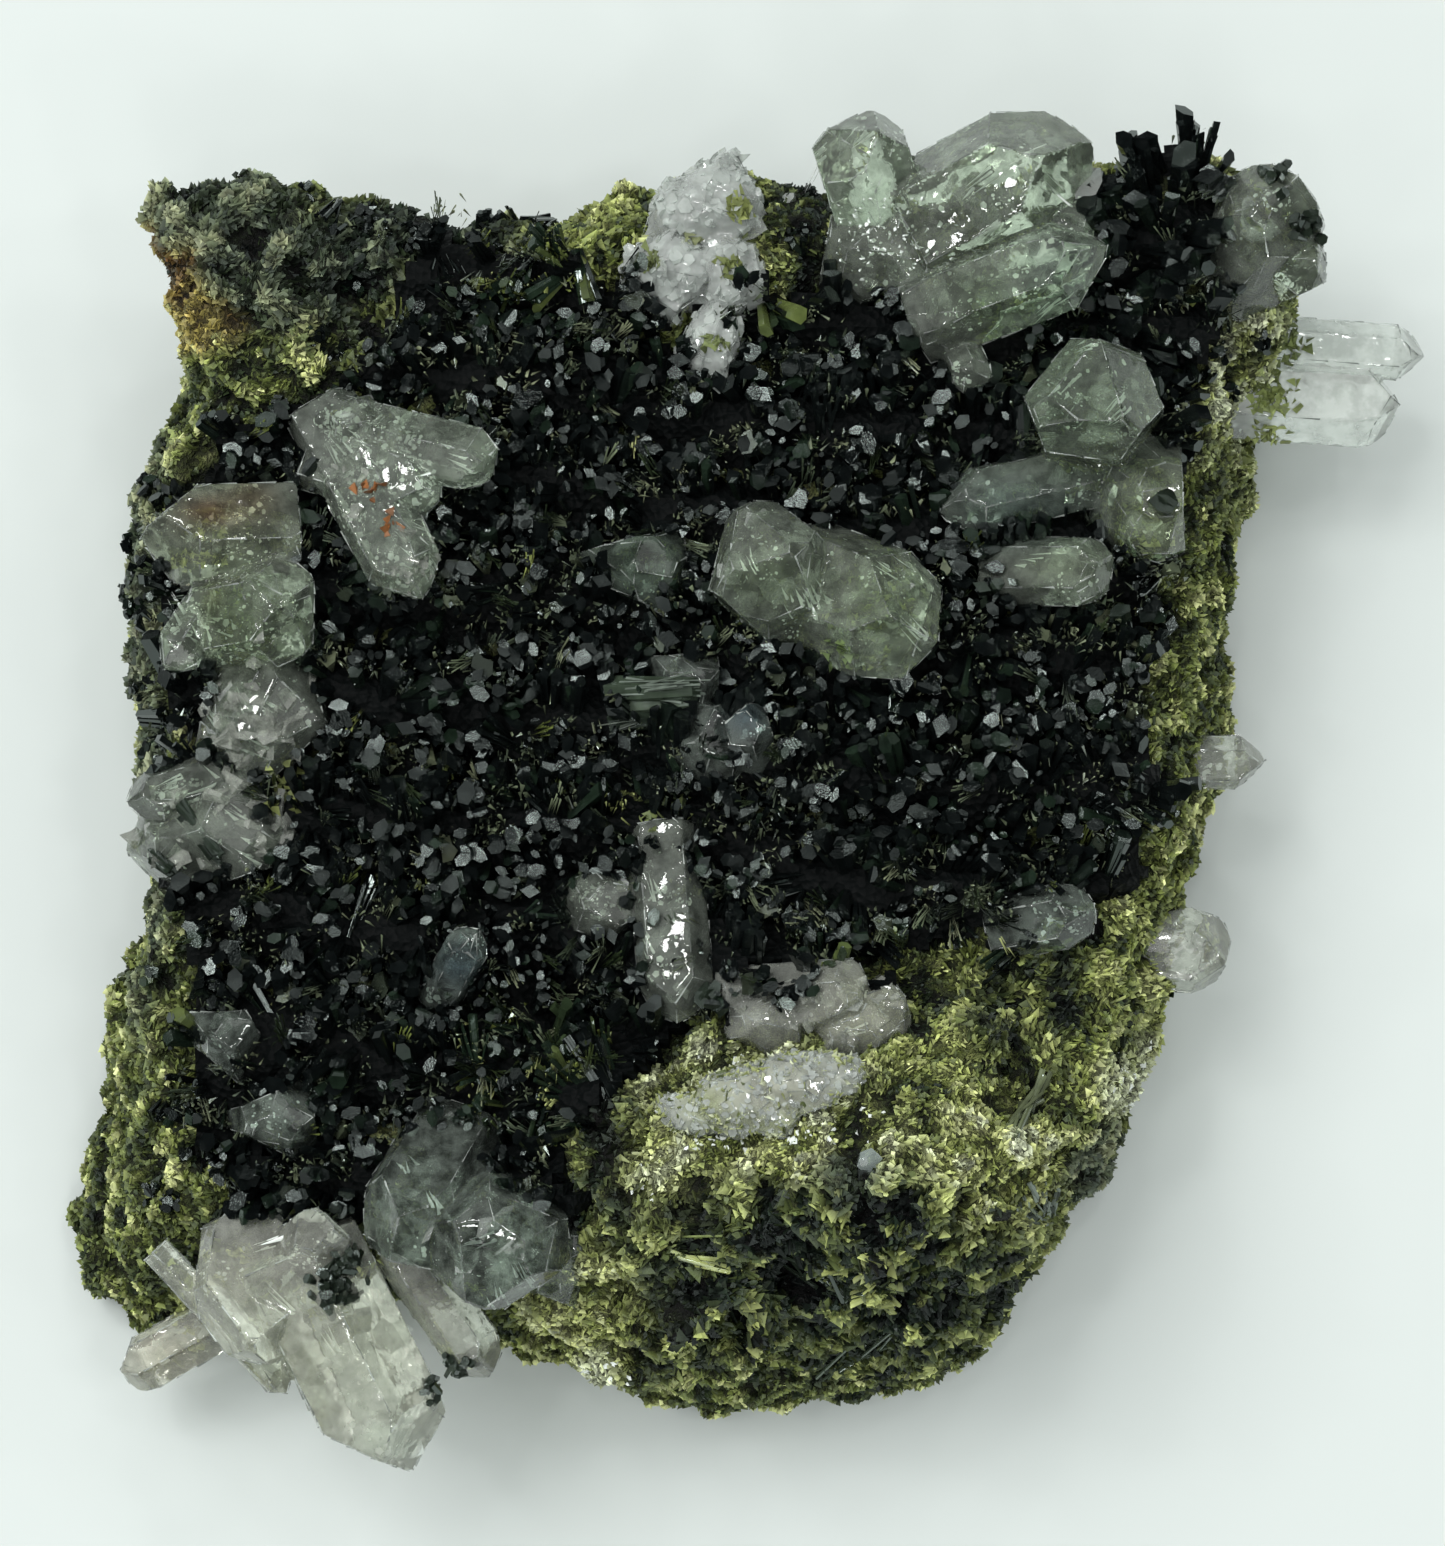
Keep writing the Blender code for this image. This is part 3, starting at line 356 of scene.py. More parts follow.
QUARTZ_FINISHES = {
    "clear_quartz": quartz("clear_quartz_crystal", (0.89, 1.00, 0.85), 0.50, 0.91, (0.00, 0.08), 0.030,
                           (0.74, 0.82, 0.66), 34.0),
    "pale_quartz": quartz("pale_quartz_crystal", (0.90, 0.94, 0.85), 0.34, 0.82, (0.00, 0.12), 0.035,
                          (0.90, 0.90, 0.84), 13.0),
    "smoky_quartz": quartz("smoky_quartz_crystal", (0.84, 0.98, 0.86), 0.70, 0.92, (0.00, 0.08), 0.030,
                           (0.60, 0.70, 0.62), 30.0),
    "white_quartz": quartz("white_quartz_mass", (0.94, 1.00, 0.95), 0.25, 0.70, (0.00, 0.12), 0.04,
                           (0.88, 0.93, 0.92), 15.0),
}

flaw_finish, _, _ = new_finish("healed_fracture", Base_Color=(0.86, 0.91, 0.87, 1.0), Roughness=0.25)
crack_finish, _, _ = new_finish(
    "open_crack", Base_Color=(0.92, 0.97, 0.92, 1.0), Roughness=0.08, IOR=1.4, Transmission_Weight=0.84
)
print(len(bpy.data.materials), "materials")

# %% [markdown]
# ## Modelling helpers
# Operators act on everything that is selected, so each step first takes one object and nothing else.
# Modifiers are applied at once, so that a finished piece is a plain mesh that sits at the origin.


# %% Helpers for modelling
def take(obj):
    """Selects this object alone and makes it the active one."""
    bpy.ops.object.select_all(action="DESELECT")
    obj.select_set(True)
    bpy.context.view_layer.objects.active = obj


def shape_with(obj, kind, **settings):
    """Adds a modifier with these settings and applies it."""
    take(obj)
    modifier = obj.modifiers.new(kind.title(), kind)
    for name, value in settings.items():
        setattr(modifier, name, value)
    bpy.ops.object.modifier_apply(modifier=modifier.name)


def keep_behind(point, normal):
    """In edit mode: cuts off all that lies on the normal's side of a plane, and closes the cut."""
    bpy.ops.mesh.select_all(action="SELECT")
    bpy.ops.mesh.bisect(
        plane_co=point, plane_no=normal, use_fill=True, clear_outer=True, threshold=1e-7
    )


def select_by(obj, part, test):
    """In edit mode: selects the vertices or faces that a test on their middle picks, and nothing else."""
    bpy.ops.mesh.select_all(action="DESELECT")
    bpy.ops.object.mode_set(mode="OBJECT")
    for element in getattr(obj.data, part):
        middle = element.co if part == "vertices" else element.center
        element.select = test(middle)
    bpy.ops.object.mode_set(mode="EDIT")


def finish_piece(obj, name, material, slot, *nodes):
    """Names a piece, gives it its finish, and fixes it to the one body of this object."""
    obj.name = name
    obj.data.name = name
    obj.data.materials.clear()
    obj.data.materials.append(material)
    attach(obj, "root")
    if nodes:
        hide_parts(*nodes)
    obj.data.calc_loop_triangles()
    print(name, len(obj.data.loop_triangles), "triangles")
    return obj


def tree_of(*objects):
    """A search tree over the faces of some objects, in metres."""
    places, faces = [], []
    for obj in objects:
        start = len(places)
        places += [vert.co.copy() for vert in obj.data.vertices]
        faces += [[start + index for index in face.vertices] for face in obj.data.polygons]
    return BVHTree.FromPolygons(places, faces)


# %% [markdown]
# ## Quartz crystals
# A quartz crystal is a six-sided prism that ends in faces which lean 51.8 degrees from its axis. Each
# one could be drawn corner by corner, but a lapidary's way is closer to nature: start from a plain
# block and cut one flat face after another. Rough-grown blocks are cut the same way, with faces that
# point everywhere, and a few corners are knocked off. Crystals that grew into each other are joined. The
# table repeats the places of the CAD solids. A fine remesh then rounds the edges a little, and lets two
# textures make the faces slightly wavy. Where two faces meet at more than a few degrees the shading stays
# crisp. The long edges of each block are kept in a list, for the thin white slivers, painted highlights
# on edges that are partly chipped, that a later step sets along them.

# %% Planes that bound a crystal, and planes that bound a rough block
RHOMB_LEAN = math.radians(51.8)
GOLDEN_ANGLE = 2.39996


def crystal(root, tip, width, depth, roll=0.0, end="point", uneven=0.25, seed=1):
    """Planes, as (point, outward normal) in millimetres, of a quartz prism from its root to its tip."""
    rng = random.Random(seed)
    root, tip = Vector(root), Vector(tip)
    axis = (tip - root).normalized()
    side = axis.cross(Vector((0.0, 0.0, 1.0)))
    side = side.normalized() if side.length > 0.1 else Vector((1.0, 0.0, 0.0))
    up = side.cross(axis).normalized()
    planes = [(root, -axis)]
    for k in range(6):
        angle = math.radians(roll + 60.0 * k)
        outward = side * math.cos(angle) + up * math.sin(angle)
        half = 0.5 * (width * math.cos(angle) ** 2 + depth * math.sin(angle) ** 2)
        half *= rng.uniform(1.0 - 0.25 * uneven, 1.0 + 0.25 * uneven)
        planes.append((root + outward * half, outward))
        leaning = outward * math.sin(RHOMB_LEAN) + axis * math.cos(RHOMB_LEAN)
        recess = {"point": (0.0, 0.28), "chisel": (0.0, 0.9), "blunt": (0.35, 0.7)}[end][k % 2]
        recess = (recess + rng.uniform(0.0, uneven)) * 0.5 * min(width, depth)
        planes.append((tip + outward * recess, leaning))
    if end == "blunt":
        planes.append((tip, (axis + side * 0.15).normalized()))
    return planes, (root + tip) / 2, axis, (tip - root).length, max(width, depth)


def lump(centre, size, sides=10, seed=1):
    """Planes of a rough block: facets all round the upper side of an ellipsoid, and a flat root."""
    rng = random.Random(seed)
    centre, half = Vector(centre), Vector(size) / 2
    planes = [(centre - Vector((0.0, 0.0, half.z)), Vector((0.0, 0.0, -1.0)))]
    for k in range(sides):
        z = 1.0 - 1.15 * (k + 0.5) / sides
        angle = k * GOLDEN_ANGLE + rng.uniform(-0.35, 0.35)
        ring = math.sqrt(1.0 - z * z)
        normal = Vector((ring * math.cos(angle), ring * math.sin(angle), z))
        support = math.sqrt(sum((n * h) ** 2 for n, h in zip(normal, half)))
        planes.append((centre + normal * support * rng.uniform(0.82, 1.0), normal))
    return planes, centre, Vector((0.0, 0.0, 1.0)), max(size), max(size)


# %% Cutting a block, and joining blocks
QUARTZ_VOXEL = 0.24 * MM
FINER_VOXEL = 0.19 * MM
CHIPS = 9
CHIP_DEPTH = (0.015, 0.055)
SHORTEST_RIDGE = 0.9
ridges = []


def hewn(block):
    """A solid that the planes of a crystal or a lump cut from a cylinder, with a few chipped corners."""
    planes, middle, axis, length, girth = block
    bpy.ops.object.select_all(action="DESELECT")
    bpy.ops.mesh.primitive_cylinder_add(
        vertices=8,
        radius=girth * MM,
        depth=(length + 2.0 * girth) * MM,
        location=middle * MM,
        rotation=axis.to_track_quat("Z", "Y").to_euler(),
    )
    obj = bpy.context.object
    bpy.ops.object.transform_apply(location=True, rotation=True, scale=True)
    bpy.ops.object.mode_set(mode="EDIT")
    for point, normal in planes:
        keep_behind(point * MM, normal)
    rng = random.Random(round(length * girth * 100))
    for _ in range(CHIPS):
        obj.update_from_editmode()
        normal = Vector((rng.gauss(0.0, 1.0), rng.gauss(0.0, 1.0), rng.gauss(0.4, 1.0))).normalized()
        reach = max(vert.co.dot(normal) for vert in obj.data.vertices)
        keep_behind(normal * (reach - rng.uniform(*CHIP_DEPTH) * girth * MM), normal)
    bpy.ops.mesh.select_all(action="SELECT")
    bpy.ops.mesh.normals_make_consistent(inside=False)
    bpy.ops.object.mode_set(mode="OBJECT")
    for edge in obj.data.edges:
        start, end = (obj.data.vertices[index].co / MM for index in edge.vertices)
        if (end - start).length > SHORTEST_RIDGE:
            ridges.append((start, end))
    return obj


def grown_together(blocks, voxel):
    """One closed skin around blocks that overlap."""
    parts = [hewn(block) for block in blocks]
    for part in parts:
        part.select_set(True)
    if len(parts) > 1:
        bpy.ops.object.join()
    whole = bpy.context.object
    shape_with(whole, "REMESH", mode="VOXEL", voxel_size=voxel)
    return whole


# %% The quartz groups, as in the solids
QUARTZ = {
    "quartz_centre_pair": [
        crystal((7.5, 15.5, 24), (2.5, 18.0, 37.5), 10.5, 9.5, roll=15, end="blunt", seed=3),
        crystal((6.5, 17.5, 27.5), (18.8, 11.0, 34.0), 11.4, 10.0, roll=28, end="chisel", seed=8),
    ],
    "quartz_back_left_blade": [
        crystal((-36.5, 33.5, 27.5), (-27.0, 15.2, 31.0), 6.6, 4.6, roll=20, end="point", seed=5),
        crystal((-36.0, 31.8, 28.0), (-20.8, 27.0, 32.5), 5.4, 4.6, roll=0, end="blunt", seed=9),
        crystal((-37.0, 29.0, 27.5), (-25.5, 24.4, 31.4), 6.0, 4.4, roll=25, end="chisel", seed=2),
        lump((-33.2, 31.5, 28.5), (6.0, 5.5, 7.4), seed=2),
    ],
    "quartz_left_cluster": [
        crystal((-38.6, 22.0, 27.0), (-51.8, 21.0, 29.5), 8.6, 7.5, roll=12, end="chisel", seed=2),
        crystal((-46.0, 13.5, 27.0), (-37.2, 14.0, 32.0), 9.0, 7.5, roll=25, end="blunt", seed=4),
        crystal((-44.5, 18.0, 26.5), (-49.5, 8.8, 30.5), 4.2, 4.0, roll=0, end="point", seed=6),
        lump((-41.5, 5.0, 26.5), (11.0, 12.0, 9.5), sides=11, seed=7),
        crystal((-42.5, 0.5, 26.0), (-53.0, -3.2, 28.0), 4.6, 4.0, roll=30, end="chisel", seed=8),
        lump((-45.5, -5.0, 25.0), (14.5, 10.5, 8.0), sides=11, seed=12),
    ],
    "quartz_back_cluster": [
        crystal((16.0, 48.5, 24.0), (11.8, 58.6, 33.0), 8.8, 8.0, roll=10, end="blunt", seed=3),
        lump((15.0, 48.5, 27.5), (13.0, 8.0, 8.0), sides=11, seed=4),
        crystal((18.5, 50.5, 26.5), (32.6, 56.4, 34.0), 12.0, 11.0, roll=22, end="chisel", seed=11),
        crystal((22.0, 48.0, 25.0), (33.5, 50.0, 31.5), 5.5, 5.0, roll=0, end="blunt", seed=14),
        crystal((17.8, 42.0, 27.0), (34.0, 46.6, 33.5), 7.4, 7.0, roll=30, end="point", seed=5),
        lump((21.0, 45.5, 26.0), (8.0, 8.0, 7.0), seed=16),
        crystal((21.0, 41.5, 25.0), (23.0, 35.5, 29.5), 3.4, 3.4, roll=10, end="blunt", seed=6),
    ],
    "quartz_back_right_gem": [
        crystal((46.5, 46.5, 23.5), (51.8, 52.6, 35.5), 9.6, 8.4, roll=35, end="point", seed=4),
        crystal((51.0, 47.0, 24.0), (53.5, 46.0, 32.5), 5.0, 5.0, roll=10, end="point", seed=9),
    ],
    "quartz_far_right_pair": [
        crystal((45.0, 44.0, 15.0), (67.0, 43.0, 12.5), 4.6, 4.6, roll=10, end="point", seed=3),
        crystal((44.0, 38.5, 14.5), (64.0, 38.0, 11.5), 7.6, 6.6, roll=25, end="blunt", seed=7),
    ],
    "quartz_right_cluster": [
        crystal((34.5, 34.0, 23.0), (33.0, 31.8, 37.5), 11.0, 10.5, 5, "blunt", uneven=0.35, seed=3),
        lump((38.5, 24.5, 27.5), (7.5, 12.5, 8.0), sides=11, seed=8),
        crystal((37.0, 28.5, 25.5), (20.0, 23.6, 29.0), 6.0, 5.0, roll=20, end="point", seed=5),
    ],
    "quartz_right_small": [
        crystal((24.3, 18.6, 26.0), (34.2, 17.2, 32.0), 5.4, 5.0, roll=25, end="blunt", seed=2),
    ],
    "quartz_small_centre": [
        lump((-7.0, 18.5, 27.5), (8.5, 6.5, 7.0), sides=9, seed=5),
    ],
    "quartz_centre_low": [
        crystal((3.2, 1.0, 25.0), (1.8, 4.6, 32.0), 4.0, 4.0, roll=5, end="point", seed=3),
        lump((-3.0, 8.2, 28.0), (6.0, 4.5, 6.0), sides=9, seed=8),
        lump((-1.0, 2.5, 26.5), (8.5, 8.5, 6.0), sides=9, seed=13),
    ],
    "quartz_front_blade": [
        crystal((-5.2, -5.0, 26.0), (-3.8, -22.5, 29.0), 6.2, 5.0, roll=25, end="chisel", seed=6),
        lump((-10.5, -12.0, 26.0), (7.0, 7.5, 6.0), sides=9, seed=9),
    ],
    "quartz_front_mass": [
        crystal((1.5, -21.0, 27.0), (12.5, -20.5, 31.5), 6.0, 5.0, roll=15, end="blunt", seed=4),
        lump((12.0, -23.0, 29.5), (8.0, 4.6, 5.0), sides=11, seed=6),
        lump((4.0, -22.8, 29.0), (7.5, 5.5, 5.5), sides=10, seed=3),
        lump((7.8, -20.6, 30.4), (4.6, 4.0, 4.4), sides=9, seed=21),
        lump((14.6, -21.6, 30.4), (4.0, 3.4, 4.0), sides=9, seed=22),
        lump((1.6, -20.2, 29.2), (3.8, 3.6, 4.0), sides=9, seed=23),
        lump((10.6, -24.6, 30.2), (3.4, 2.8, 3.4), sides=9, seed=24),
    ],
    "quartz_hump_patch": [
        lump((1.5, -30.2, 33.3), (8.0, 5.6, 4.0), sides=11, seed=5),
        lump((6.8, -29.0, 34.3), (8.0, 5.0, 4.2), sides=11, seed=8),
        lump((-2.4, -31.4, 32.4), (4.5, 3.6, 3.0), sides=9, seed=11),
        lump((4.2, -31.6, 33.4), (5.0, 3.2, 3.2), sides=9, seed=14),
        lump((10.2, -28.2, 33.8), (4.6, 3.4, 3.2), sides=9, seed=17),
    ],
    "quartz_back_vein": [
        lump((-1.5, 52.0, 27.8), (10.5, 8.0, 7.0), sides=11, seed=3),
        lump((-5.0, 46.5, 27.5), (9.5, 7.0, 6.5), sides=11, seed=6),
        lump((0.8, 46.0, 27.5), (6.5, 8.5, 6.0), sides=11, seed=9),
        lump((-0.6, 40.0, 27.0), (4.6, 7.5, 6.0), sides=10, seed=12),
    ],
    "quartz_front_left_cluster": [
        crystal((-37.5, -42.0, 24.0), (-28.2, -61.0, 18.5), 11.0, 8.5, roll=8, end="chisel", seed=5),
        crystal((-40.5, -40.0, 21.0), (-41.5, -52.0, 25.0), 13.0, 5.5, roll=32, end="blunt", seed=4),
        crystal((-38.0, -43.5, 23.0), (-34.0, -41.0, 29.5), 5.5, 4.5, roll=10, end="chisel", seed=9),
        crystal((-29.5, -41.0, 21.0), (-20.5, -53.5, 20.5), 4.6, 5.5, roll=22, end="point", seed=3),
        crystal((-50.5, -42.5, 22.5), (-38.8, -54.8, 20.0), 2.6, 4.0, roll=0, end="point", seed=8),
    ],
    "quartz_front_left_under": [
        crystal((-43.0, -46.5, 10.0), (-55.0, -53.0, 8.0), 4.8, 4.4, roll=20, end="blunt", seed=4),
    ],
    "quartz_front_smoky": [
        crystal((-23.0, -32.0, 23.0), (-28.5, -43.5, 31.5), 9.5, 7.5, roll=18, end="chisel", seed=6),
        crystal((-20.5, -38.0, 22.0), (-19.5, -44.0, 34.0), 12.0, 10.0, 5, "blunt", uneven=0.4, seed=9),
        lump((-14.5, -42.5, 25.0), (7.0, 9.0, 8.5), sides=9, seed=2),
    ],
    "quartz_right_edge_low": [
        crystal((37.0, -13.5, 14.0), (46.6, -15.0, 14.0), 7.4, 6.0, roll=12, end="blunt", seed=3),
    ],
    "quartz_right_edge_tip": [
        crystal((43.5, 3.5, 12.5), (50.6, 3.5, 12.0), 4.6, 4.0, roll=12, end="point", seed=5),
    ],
    "quartz_right_sunken": [
        crystal((24.5, -14.0, 25.0), (33.0, -13.0, 30.0), 5.5, 4.5, roll=20, end="chisel", seed=7),
    ],
    "quartz_left_sunken_back": [
        lump((-44.3, -23.5, 25.0), (5.5, 5.0, 6.5), sides=9, seed=4),
    ],
    "quartz_left_sunken_front": [
        lump((-39.5, -31.0, 24.5), (7.0, 5.0, 6.5), sides=9, seed=6),
    ],
    "quartz_blue_spike": [
        crystal((-25.5, -20.5, 24.5), (-21.8, -15.0, 31.0), 3.4, 3.4, roll=10, end="point", seed=2),
    ],
}
SMOKY = ("small_centre", "centre_low", "smoky", "sunken", "spike")
WHITE = ("patch", "vein")
PALE = ("front_left", "far_right", "edge", "front_mass")
SMOOTH = ("patch",)
MILKY = ("far_right",)

# %% Cut all the quartz
GROWTH = {
    "clear_quartz": [("VORONOI", 4.0, -0.07), ("CLOUDS", 1.6, 0.04)],
    "smoky_quartz": [("VORONOI", 4.0, -0.06), ("CLOUDS", 1.6, 0.03)],
    "white_quartz": [("VORONOI", 3.4, -0.90), ("CLOUDS", 1.2, 0.30)],
}
# Soft tints on the quartz, each (u, v, reach across, reach down, colour): the rust, green and cream ones
# are stains, the bluish ones are painted reflections, such as at (745, 715) and (460, 965).
STAINS_AND_BLUE_REFLECTIONS = [
    (225, 525, 75, 42, (1.00, 0.96, 0.89)), (212, 512, 30, 14, (0.85, 0.50, 0.38)),
    (250, 500, 26, 20, (0.92, 0.72, 0.58)), (215, 600, 12, 20, (0.80, 0.74, 0.38)),
    (285, 1355, 14, 12, (0.80, 0.62, 0.25)), (250, 1275, 60, 40, (1.00, 0.97, 0.93)),
    (175, 1355, 50, 30, (1.00, 0.90, 0.82)), (390, 1340, 60, 70, (1.00, 0.98, 0.94)),
    (1060, 275, 40, 32, (0.86, 0.94, 1.00)), (1165, 520, 42, 50, (0.97, 0.98, 0.80)),
    (1055, 560, 46, 26, (0.94, 1.00, 0.82)), (985, 300, 50, 34, (0.78, 0.88, 0.74)),
    (1345, 385, 70, 70, (1.00, 0.98, 0.98)), (745, 715, 22, 22, (0.62, 0.74, 0.90)),
    (460, 965, 26, 24, (0.60, 0.70, 0.86)), (240, 620, 50, 60, (0.72, 0.78, 0.64)),
    (640, 560, 50, 50, (0.75, 0.85, 0.75)), (1020, 510, 70, 40, (0.80, 0.90, 0.95)),
    (870, 600, 50, 50, (0.94, 1.00, 0.86)), (770, 580, 40, 40, (0.92, 0.98, 0.86)),
    (1060, 350, 40, 100, (0.80, 0.88, 0.80)), (1085, 400, 66, 60, (0.72, 0.80, 0.72)),
    (300, 1350, 110, 110, (0.95, 0.95, 0.88)),
    (770, 1090, 90, 40, (1.00, 0.97, 0.84)), (705, 1105, 24, 20, (0.80, 0.82, 0.52)),
    (780, 1122, 60, 14, (0.84, 0.86, 0.60)), (870, 1010, 60, 50, (1.00, 1.00, 0.88)),
]


def places_of(obj):
    """A mesh's vertices as rows of x, y, z in millimetres."""
    flat = np.zeros(3 * len(obj.data.vertices))
    obj.data.vertices.foreach_get("co", flat)
    return flat.reshape(-1, 3) / MM


def paint(obj, colours):
    """Gives each vertex of a mesh its colour, as the tint that the finishes read."""
    tint = obj.data.attributes.new("tint", "FLOAT_VECTOR", "POINT")
    tint.data.foreach_set("vector", colours.ravel())


def tint_stains_and_reflections(obj):
    """Paints quartz white, with the stains that the photograph shows, and painted blue reflections."""
    u, v = pixels_of(places_of(obj))
    colours = np.ones((len(u), 3))
    for tint_u, tint_v, reach_u, reach_v, colour in STAINS_AND_BLUE_REFLECTIONS:
        share = np.exp(-(((u - tint_u) / reach_u) ** 2) - ((v - tint_v) / reach_v) ** 2)[:, None]
        colours = colours * (1.0 - share) + np.array(colour) * share
    paint(obj, colours)


CRISP_EDGE = math.radians(16.0)
quartz_pieces = {}
for cad_name, blocks in QUARTZ.items():
    kind = "smoky_quartz" if any(word in cad_name for word in SMOKY) else "clear_quartz"
    piece = grown_together(blocks, FINER_VOXEL if kind == "smoky_quartz" else QUARTZ_VOXEL)
    kind = "white_quartz" if any(word in cad_name for word in WHITE) else kind
    growth = "clear_quartz" if any(word in cad_name for word in SMOOTH) else kind
    for pattern, size, strength in GROWTH[growth]:
        texture = bpy.data.textures.new(kind + pattern, pattern)
        texture.noise_scale = size * MM
        shape_with(piece, "DISPLACE", texture=texture, strength=strength * MM, mid_level=0.5,
                   texture_coords="LOCAL")
    tint_stains_and_reflections(piece)
    bpy.ops.object.shade_smooth_by_angle(angle=CRISP_EDGE)
    name = cad_name.replace("quartz_", "") + "_quartz"
    finish = "pale_quartz" if any(word in cad_name for word in PALE) else kind
    finish = "white_quartz" if any(word in cad_name for word in MILKY) else finish
    quartz_pieces[cad_name] = finish_piece(piece, name, QUARTZ_FINISHES[finish], kind, cad_name)
quartz_tree = tree_of(*quartz_pieces.values())


def in_quartz(point, margin=0.0):
    """Whether a point in millimetres lies inside quartz, deeper than the margin."""
    spot, normal, _, distance = quartz_tree.find_nearest(Vector(point) * MM)
    return (Vector(point) * MM - spot).dot(normal) < 0.0 and distance > margin * MM


# %% [markdown]
# ## The rock
# The slab is rough at every scale: ledges and lumps, which the CAD solid has, and grains too small for
# it. A copy of the solid's mesh is merged, because it arrives as loose triangles, and remeshed into
# even, tiny faces. Textures then push those in and out: lumps as wide as a finger, then smaller ones,
# then grit. Hollows are pressed in where the photograph shows dark holes. The foot stays flat, for the
# cluster stands on it, and a little narrower than the rock above.

# %% The rock's mesh
BLUNT_VOXEL = 1.5 * MM
FINE_VOXEL = 0.68 * MM
FLAT_BELOW = 1.0 * MM
ROCK_RELIEF = {
    "rock_swells": ("CLOUDS", 5.0, 3.4, 0.58),
    "rock_lumps": ("VORONOI", 4.2, -1.9, 0.30),
    "rock_knobs": ("VORONOI", 2.1, -1.1, 0.40),
    "rock_grit": ("VORONOI", 1.1, -0.6, 0.45),
}
HOLLOWS = [(790, 1292, 3.4, 3.6), (730, 1330, 2.6, 2.2), (860, 1235, 3.0, 2.0), (925, 1300, 3.2, 1.8),
           (700, 1195, 3.0, 1.6), (185, 392, 2.6, 1.8), (315, 210, 2.4, 1.6), (1010, 1090, 2.6, 2.0),
           (246, 231, 1.7, 1.6), (200, 192, 1.5, 1.4), (263, 309, 1.8, 1.6), (370, 292, 2.8, 2.2),
           (300, 258, 1.4, 1.2), (340, 340, 1.6, 1.2), (222, 268, 1.2, 1.0), (285, 188, 1.3, 1.1)]
HOLLOW_REACH = 2.5
FOOT_TOP = 1.6 * MM
FOOT_INSET = 0.975

rock_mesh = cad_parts["matrix"].data.copy()
rock = bpy.data.objects.new("rock", rock_mesh)
bpy.context.scene.collection.objects.link(rock)
take(rock)
bpy.ops.object.mode_set(mode="EDIT")
bpy.ops.mesh.select_all(action="SELECT")
bpy.ops.mesh.remove_doubles(threshold=0.01 * MM)
bpy.ops.object.mode_set(mode="OBJECT")
shape_with(rock, "REMESH", mode="VOXEL", voxel_size=BLUNT_VOXEL)
shape_with(rock, "SMOOTH", factor=0.5, iterations=2)
shape_with(rock, "REMESH", mode="VOXEL", voxel_size=FINE_VOXEL)

plain_rock = tree_of(rock)
for u, v, radius, depth in HOLLOWS:
    middle, normal, _, _ = plain_rock.ray_cast(eye, ray_through(u, v))
    for vert in rock.data.vertices:
        near = (vert.co - middle).length / (radius * MM)
        if near < HOLLOW_REACH:
            vert.co -= normal * depth * MM * math.exp(-near * near)

above_foot = rock.vertex_groups.new(name="above_foot")
above_foot.add([vert.index for vert in rock.data.vertices if vert.co.z > FLAT_BELOW], 1.0, "REPLACE")
for name, (kind, size, strength, middle) in ROCK_RELIEF.items():
    texture = bpy.data.textures.new(name, kind)
    texture.noise_scale = size * MM
    shape_with(rock, "DISPLACE", texture=texture, strength=strength * MM, mid_level=middle,
               texture_coords="LOCAL", vertex_group="above_foot")
for vert in rock.data.vertices:
    vert.co.z = max(vert.co.z, 0.0)
    if vert.co.z < FOOT_TOP:
        vert.co.x *= FOOT_INSET
        vert.co.y *= FOOT_INSET
print("the rock has", len(rock.data.vertices), "vertices")

# %% How deep each vertex lies in a hollow
even = bpy.data.objects.new("even_rock", rock.data.copy())
bpy.context.scene.collection.objects.link(even)
shape_with(even, "SMOOTH", factor=0.6, iterations=14)
rock_normals = np.zeros(3 * len(rock.data.vertices))
rock.data.vertices.foreach_get("normal", rock_normals)
rock_depth = ((places_of(even) - places_of(rock)) * rock_normals.reshape(-1, 3)).sum(axis=1)
bpy.data.objects.remove(even)
print("hollows and crests reach", np.percentile(rock_depth, [2, 98]).round(2), "mm")

# %% [markdown]
# Epidote rock has the colour of its grain size: thick crystals look black or bottle green, small and
# dusty ones olive to pistachio, and iron turns some to rust. Dust lies on the crests, and the colour also
# runs from near black in hollows, as painted shade, to lighter on crests, as painted light. So each zone
# of the rock gets a ramp of colours that runs from hollow to crest, and one function blends the zones at
# any place. The rock's vertices and its loose grains both ask it. The rust and the darker zones lie on
# top, and fade down the walls that the photograph doesn't show.

